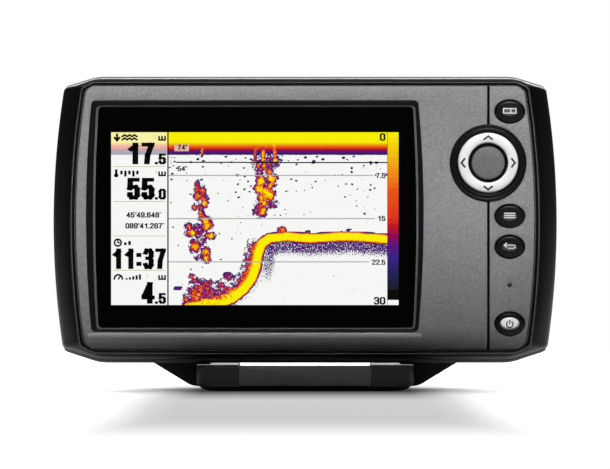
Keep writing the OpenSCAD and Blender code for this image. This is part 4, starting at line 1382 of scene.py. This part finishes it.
def arm(side):
    """Arm that curves out of its root, flares, turns upright and ends in the round ear."""
    slope = atan2(1, 1.65)
    bend = 6
    half = ARM_T / 2
    foot, foot_bend = Vector((40.1, 11.1)), 7
    path = [(Vector((36, foot.y - foot_bend)), 0)]
    for i in range(5):
        a = slope * i / 4
        path.append((foot + Vector((sin(a), -cos(a))) * foot_bend, a))
    start = path[-1][0]
    along = Vector((cos(slope), sin(slope)))
    upright_x = ARM_X + half
    reach = (upright_x - start.x) / along.x
    corner = start + along * reach
    cut = bend * tan((pi / 2 - slope) / 2)
    for i in range(1, 7):
        spot = start + along * (reach - cut) * i / 6
        path.append((spot, slope))
    centre = corner - along * cut + Vector((-along.y, along.x)) * bend
    for i in range(1, 8):
        a = slope + (pi / 2 - slope) * i / 8
        path.append((centre + Vector((sin(a), -cos(a))) * bend, a))
    for z in [corner.y + cut + 2, 34, 42, 50, 56]:
        path.append((Vector((upright_x, z)), pi / 2))
    for i in range(13):
        z = NECK_Z + (EAR_R + 2.96) * sin(radians(90 * i / 12))
        path.append((Vector((upright_x, z)), pi / 2))

    def span(z):
        """Front and rear of the arm at a height, as depths."""
        if z > NECK_Z:
            h = sqrt(max(EAR_R**2 - (z - PIVOT_Z) ** 2, 0.01))
            return PIVOT_D - h, PIVOT_D + h
        rear = ARM_REAR + (PIVOT_D + NECK_HALF - ARM_REAR) * max(z - 16, 0) / (NECK_Z - 16)
        front = ARM_FRONT + (PIVOT_D - NECK_HALF - ARM_FRONT) * max(z - 24, 0) / (NECK_Z - 24)
        return front, rear

    rings = []
    for spot, a in path:
        front, rear = span(spot.y)
        normal = Vector((-sin(a), cos(a)))
        corner_r = min(1.6, (rear - front) / 2 - 0.01)
        upper = half + 4.4 * (1 - smooth(start.x, start.x + 20, spot.x))
        section = oblong(front, rear, -half, upper, corner_r, 5)
        rings.append([place(side * (spot.x + normal.x * n), d, spot.y + normal.y * n) for d, n in section])
    return loft(rings)


def bracket():
    plastic = moulded("bracket_plastic", (54, 55, 56), 0.46, 0.08, 0.4, 0.03)
    parts = [tray_floor()]
    for side in (1, -1):
        parts += [root_block(side), arm(side)]
    piece("bracket_shell", parts, "bracket", plastic, "bracket_plastic", "gimbal_bracket")

    rubber = moulded("pad_rubber", (10, 10, 10), 0.7, 0.2, 0.5, 0.03)
    skins = []
    for grow, z in ((0, 0), (0.5, 0.12), (1.6, 0.45), (2.6, 0.85), (3.2, 1.2), (3.4, PAD_T)):
        skins.append(plan(base_plan(36.2 + grow, 13.2 - grow * 0.35, 70.8 + grow * 0.35, 7), z))
    piece("base_foot", [loft(skins)], "bracket", rubber, "pad_rubber", "base_pad")

    cover = moulded("cover_grey", (86, 88, 90), 0.38, 0.25, 0.5, 0.02)
    low, high = box_mm("base_front_cover")

    def panel(inset, depth, side=0):
        x, low_z, high_z = high.x - inset + side, low.z + inset, high.z - inset
        return flat_ring(oblong(-x, x, low_z, high_z, 0.5, 4), depth)

    gap = BLOCK_INNER - high.x
    skins = [panel(0.02, high.y, gap), panel(0.02, low.y + 0.7, gap)]
    skins += [panel(inset, low.y + d) for inset, d in ((0.3, 0.68), (0.3, 0.3), (0.36, 0.1), (0.55, 0))]
    piece("front_cover_panel", [loft(skins)], "bracket", cover, "cover_grey", "base_front_cover")


def knob_wave(t, r):
    """Ten finger flutes round the knob's rim."""
    return 0.11 * smooth(9.5, 13, r) * max(0, cos(10 * t)) ** 1.5


def knobs():
    grip = moulded("knob_black", (20, 21, 22), 0.48, 0.3, 0.5, 0.03)
    profile = [(0, 0), (7.6, 0), (8, 0.3), (8, 2.4), (12.6, 2.5), (13.5, 2.9), (14, 3.8), (14, 8), (13.8, 11),
               (13.3, 12.6), (12.4, 13.5), (11.2, 13.8), (10.2, 13.6), (9.6, 13.1), (4, 12.8), (0, 12.8)]
    profile = [(r, KNOB_X + d) for r, d in profile]
    for side, word in ((1, "right"), (-1, "left")):
        part = side_turned(side, profile, 160, knob_wave)
        piece(word + "_knob_grip", [part], word + "_clamp", grip, "knob_black", word + "_knob")


# ---- sockets


def sockets():
    black = moulded("socket_black", (22, 23, 25), 0.38, 0.4, 0.4, 0.01)
    floor = 38
    for name, x, up in (("power_socket", -SOCKET_X, 1), ("transducer_socket", SOCKET_X, -1)):
        profile = [(0, floor), (9, floor), (9, 51.4), (8.85, 51.8), (8.5, 52), (7.5, 52), (7.15, 51.8),
                   (7, 51.4), (7, floor + 2), (0, floor + 2)]
        key = oblong(x - 1, x + 1, SOCKET_Z + up * 5.8, SOCKET_Z + up * 7.4, 0.3, 3)
        key_part = loft([flat_ring(key, d) for d in (floor + 1, 50.6, 51)])
        parts = [turned(x, SOCKET_Z, profile, 96), key_part]
        piece(name + "_shell", parts, "head", black, "socket_black", name)


# ---- finishes of the CAD's own pieces


def dress_nodes():
    """Procedural finish for every CAD node that keeps its own shape."""
    finishes = [
        (metal("bright_steel", (0.55, 0.55, 0.56), 0.26),
         "housing_screws", "board_screws", "left_stud", "right_stud"),
        (metal("brass", (0.62, 0.45, 0.18), 0.25), "pivot_inserts", "power_pins", "transducer_pins"),
        (metal("tinned_steel", (0.6, 0.61, 0.62), 0.34, (1, 1, 0.15), 0.8),
         "board_shield", "backlight_tray", "switch_domes"),
        (metal("cast_alloy", (0.5, 0.51, 0.53), 0.45), "heat_sink"),
        (circuit_board("solder_mask"), "main_board", "keypad_board"),
        (moulded("inner_black", (26, 27, 29), 0.5), "buzzer", "vent_plug", "cursor_pivot_ring"),
        (moulded("inner_rubber", (40, 41, 43), 0.65, 0.2, 0.6, 0.02),
         "lcd_gasket", "keypad_mat", "housing_seal"),
        (moulded("washer_fibre", (58, 58, 58), 0.6), "left_ear_washer", "right_ear_washer"),
        (moulded("panel_white", (220, 220, 214), 0.4, 0.4, 1, 0), "lcd_panel"),
        (moulded("ferrite", (54, 52, 44), 0.6), "sonar_transformer"),
        (moulded("capacitor_sleeve", (34, 48, 92), 0.3, 0.5), "power_capacitors"),
        (moulded("ceramic", (204, 198, 178), 0.4, 0.4), "gps_antenna"),
    ]
    for finish, *names in finishes:
        for name in names:
            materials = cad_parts[name].data.materials
            materials.clear()
            materials.append(finish)


# ---- floor, light and camera

# The pool and contact sizes and tones below set a painted shadow on the floor.
FLOOR_TONE, FLOOR_GLOW, SHADOW_POOL_TONE, SHADOW_POOL_GLOW = 0.7, 0.7, 0.27, 0.3
SHADOW_POOL_HALF, SHADOW_POOL_REACH = 84, 690
CONTACT_SHADOW_REACH, CONTACT_SHADOW_DEPTH = 160, 0.86
KEY_POWER, TOP_POWER, BACK_POWER = 0.235, 12, 10
AIM_X, AIM_Z = -0.05, 59.05
FIELD_WIDTH, CAMERA_AWAY = 0.2287, 2.4


def floor_white():
    """Pale floor with a painted soft shadow pool before the base and a painted contact shadow at its front,
    and its own light further out, as a lit sweep has.
    """
    shade = Shade("floor_white", 0.9, 0)
    pale = shade.mix(shade.noise(60), grey(FLOOR_TONE), grey(FLOOR_TONE + 0.02))
    across = shade.axis(0).math("ABSOLUTE")
    before = shade.axis(1) * -1
    beside = across.clamped(SHADOW_POOL_HALF * 0.5, SHADOW_POOL_HALF)
    beyond = before.clamped(SHADOW_POOL_REACH * 0.52, SHADOW_POOL_REACH)
    behind = shade.axis(1).clamped(20, 160)
    clear = beside.math("SMOOTH_MAX", beyond, 0.3).math("SMOOTH_MAX", behind, 0.3)
    share = shade.ramp(clear, [(0, 1), (0.25, 0.85), (0.75, 0.15), (1, 0)])
    # Painted contact shadow: darkest at the base's front, fading forward, to the sides and behind.
    painted_contact_shadow = before.clamped(CONTACT_SHADOW_REACH, 20) * across.clamped(54, 39) * before.clamped(-60, 0)
    dim = painted_contact_shadow * -CONTACT_SHADOW_DEPTH + 1
    tones = shade.mix(share, pale, grey(SHADOW_POOL_TONE))
    glows = shade.mix(share, grey(FLOOR_GLOW), grey(SHADOW_POOL_GLOW))
    shade.link(shade.mix(dim, grey(0), glows), "Emission Color")
    shade.link(1, "Emission Strength")
    return shade.painted(shade.mix(dim, grey(0), tones))


def stage_plain():
    """Pale floor, soft lights before, above and behind, and a white surround for the camera."""
    mesh = bpy.data.meshes.new("floor")
    mesh.from_pydata([(x, y, 0) for x, y in oblong(-0.8, 0.8, -1.1, 0.8)], [], [[0, 1, 2, 3]])
    mesh.materials.append(floor_white())
    floor = add_object("floor", mesh)
    floor.visible_diffuse = False

    world = bpy.data.worlds.new("studio")
    bpy.context.scene.world = world
    world.use_nodes = True
    nodes, links = world.node_tree.nodes, world.node_tree.links
    back = nodes["Background"]
    back.inputs["Strength"].default_value = 1
    path = nodes.new("ShaderNodeLightPath")
    mix = nodes.new("ShaderNodeMix")
    mix.data_type = "RGBA"
    mix.inputs[6].default_value = grey(0.045)
    mix.inputs[7].default_value = grey(1)
    links.new(path.outputs["Is Camera Ray"], mix.inputs[0])
    links.new(mix.outputs[2], back.inputs["Color"])

    def softbox(name, at, aim, width, height, power, spread=180):
        lamp = bpy.data.lights.new(name, "AREA")
        lamp.shape = "RECTANGLE"
        lamp.spread = radians(spread)
        lamp.size, lamp.size_y, lamp.energy = width, height, power
        obj = add_object(name, lamp)
        obj.location = at
        obj.rotation_euler = (Vector(aim) - Vector(at)).to_track_quat("-Z", "Y").to_euler()
        obj.visible_camera = False

    softbox("key", (0, -0.24, 0.33), (-0.01, -0.035, 0.16), 0.33, 0.2, KEY_POWER, 17)
    softbox("overhead", (0, 0.1, 0.9), (0, 0, 0.05), 1.2, 0.5, TOP_POWER)
    softbox("back_fill", (0.1, 0.95, 0.5), (0, 0, 0.05), 0.9, 0.3, BACK_POWER)


def camera():
    """Long lens, level, straight before the object."""
    lens = bpy.data.cameras.new("camera")
    lens.sensor_width = 36
    lens.lens = lens.sensor_width * CAMERA_AWAY / FIELD_WIDTH
    lens.clip_end = 30
    face = Vector(place(AIM_X, FACE_D, AIM_Z))
    at = face - Vector((0, CAMERA_AWAY, 0))
    obj = add_object("camera", lens)
    obj.location = at
    obj.rotation_euler = (face - at).to_track_quat("-Z", "Y").to_euler()
    bpy.context.scene.camera = obj
    bpy.context.scene.view_settings.view_transform = "Standard"


# ---- the object

camera()
stage_plain()
head_shells()
grey_face()
glass_and_trim()
lit_screen()
buttons()
four_way_control()
bracket()
knobs()
sockets()
dress_nodes()
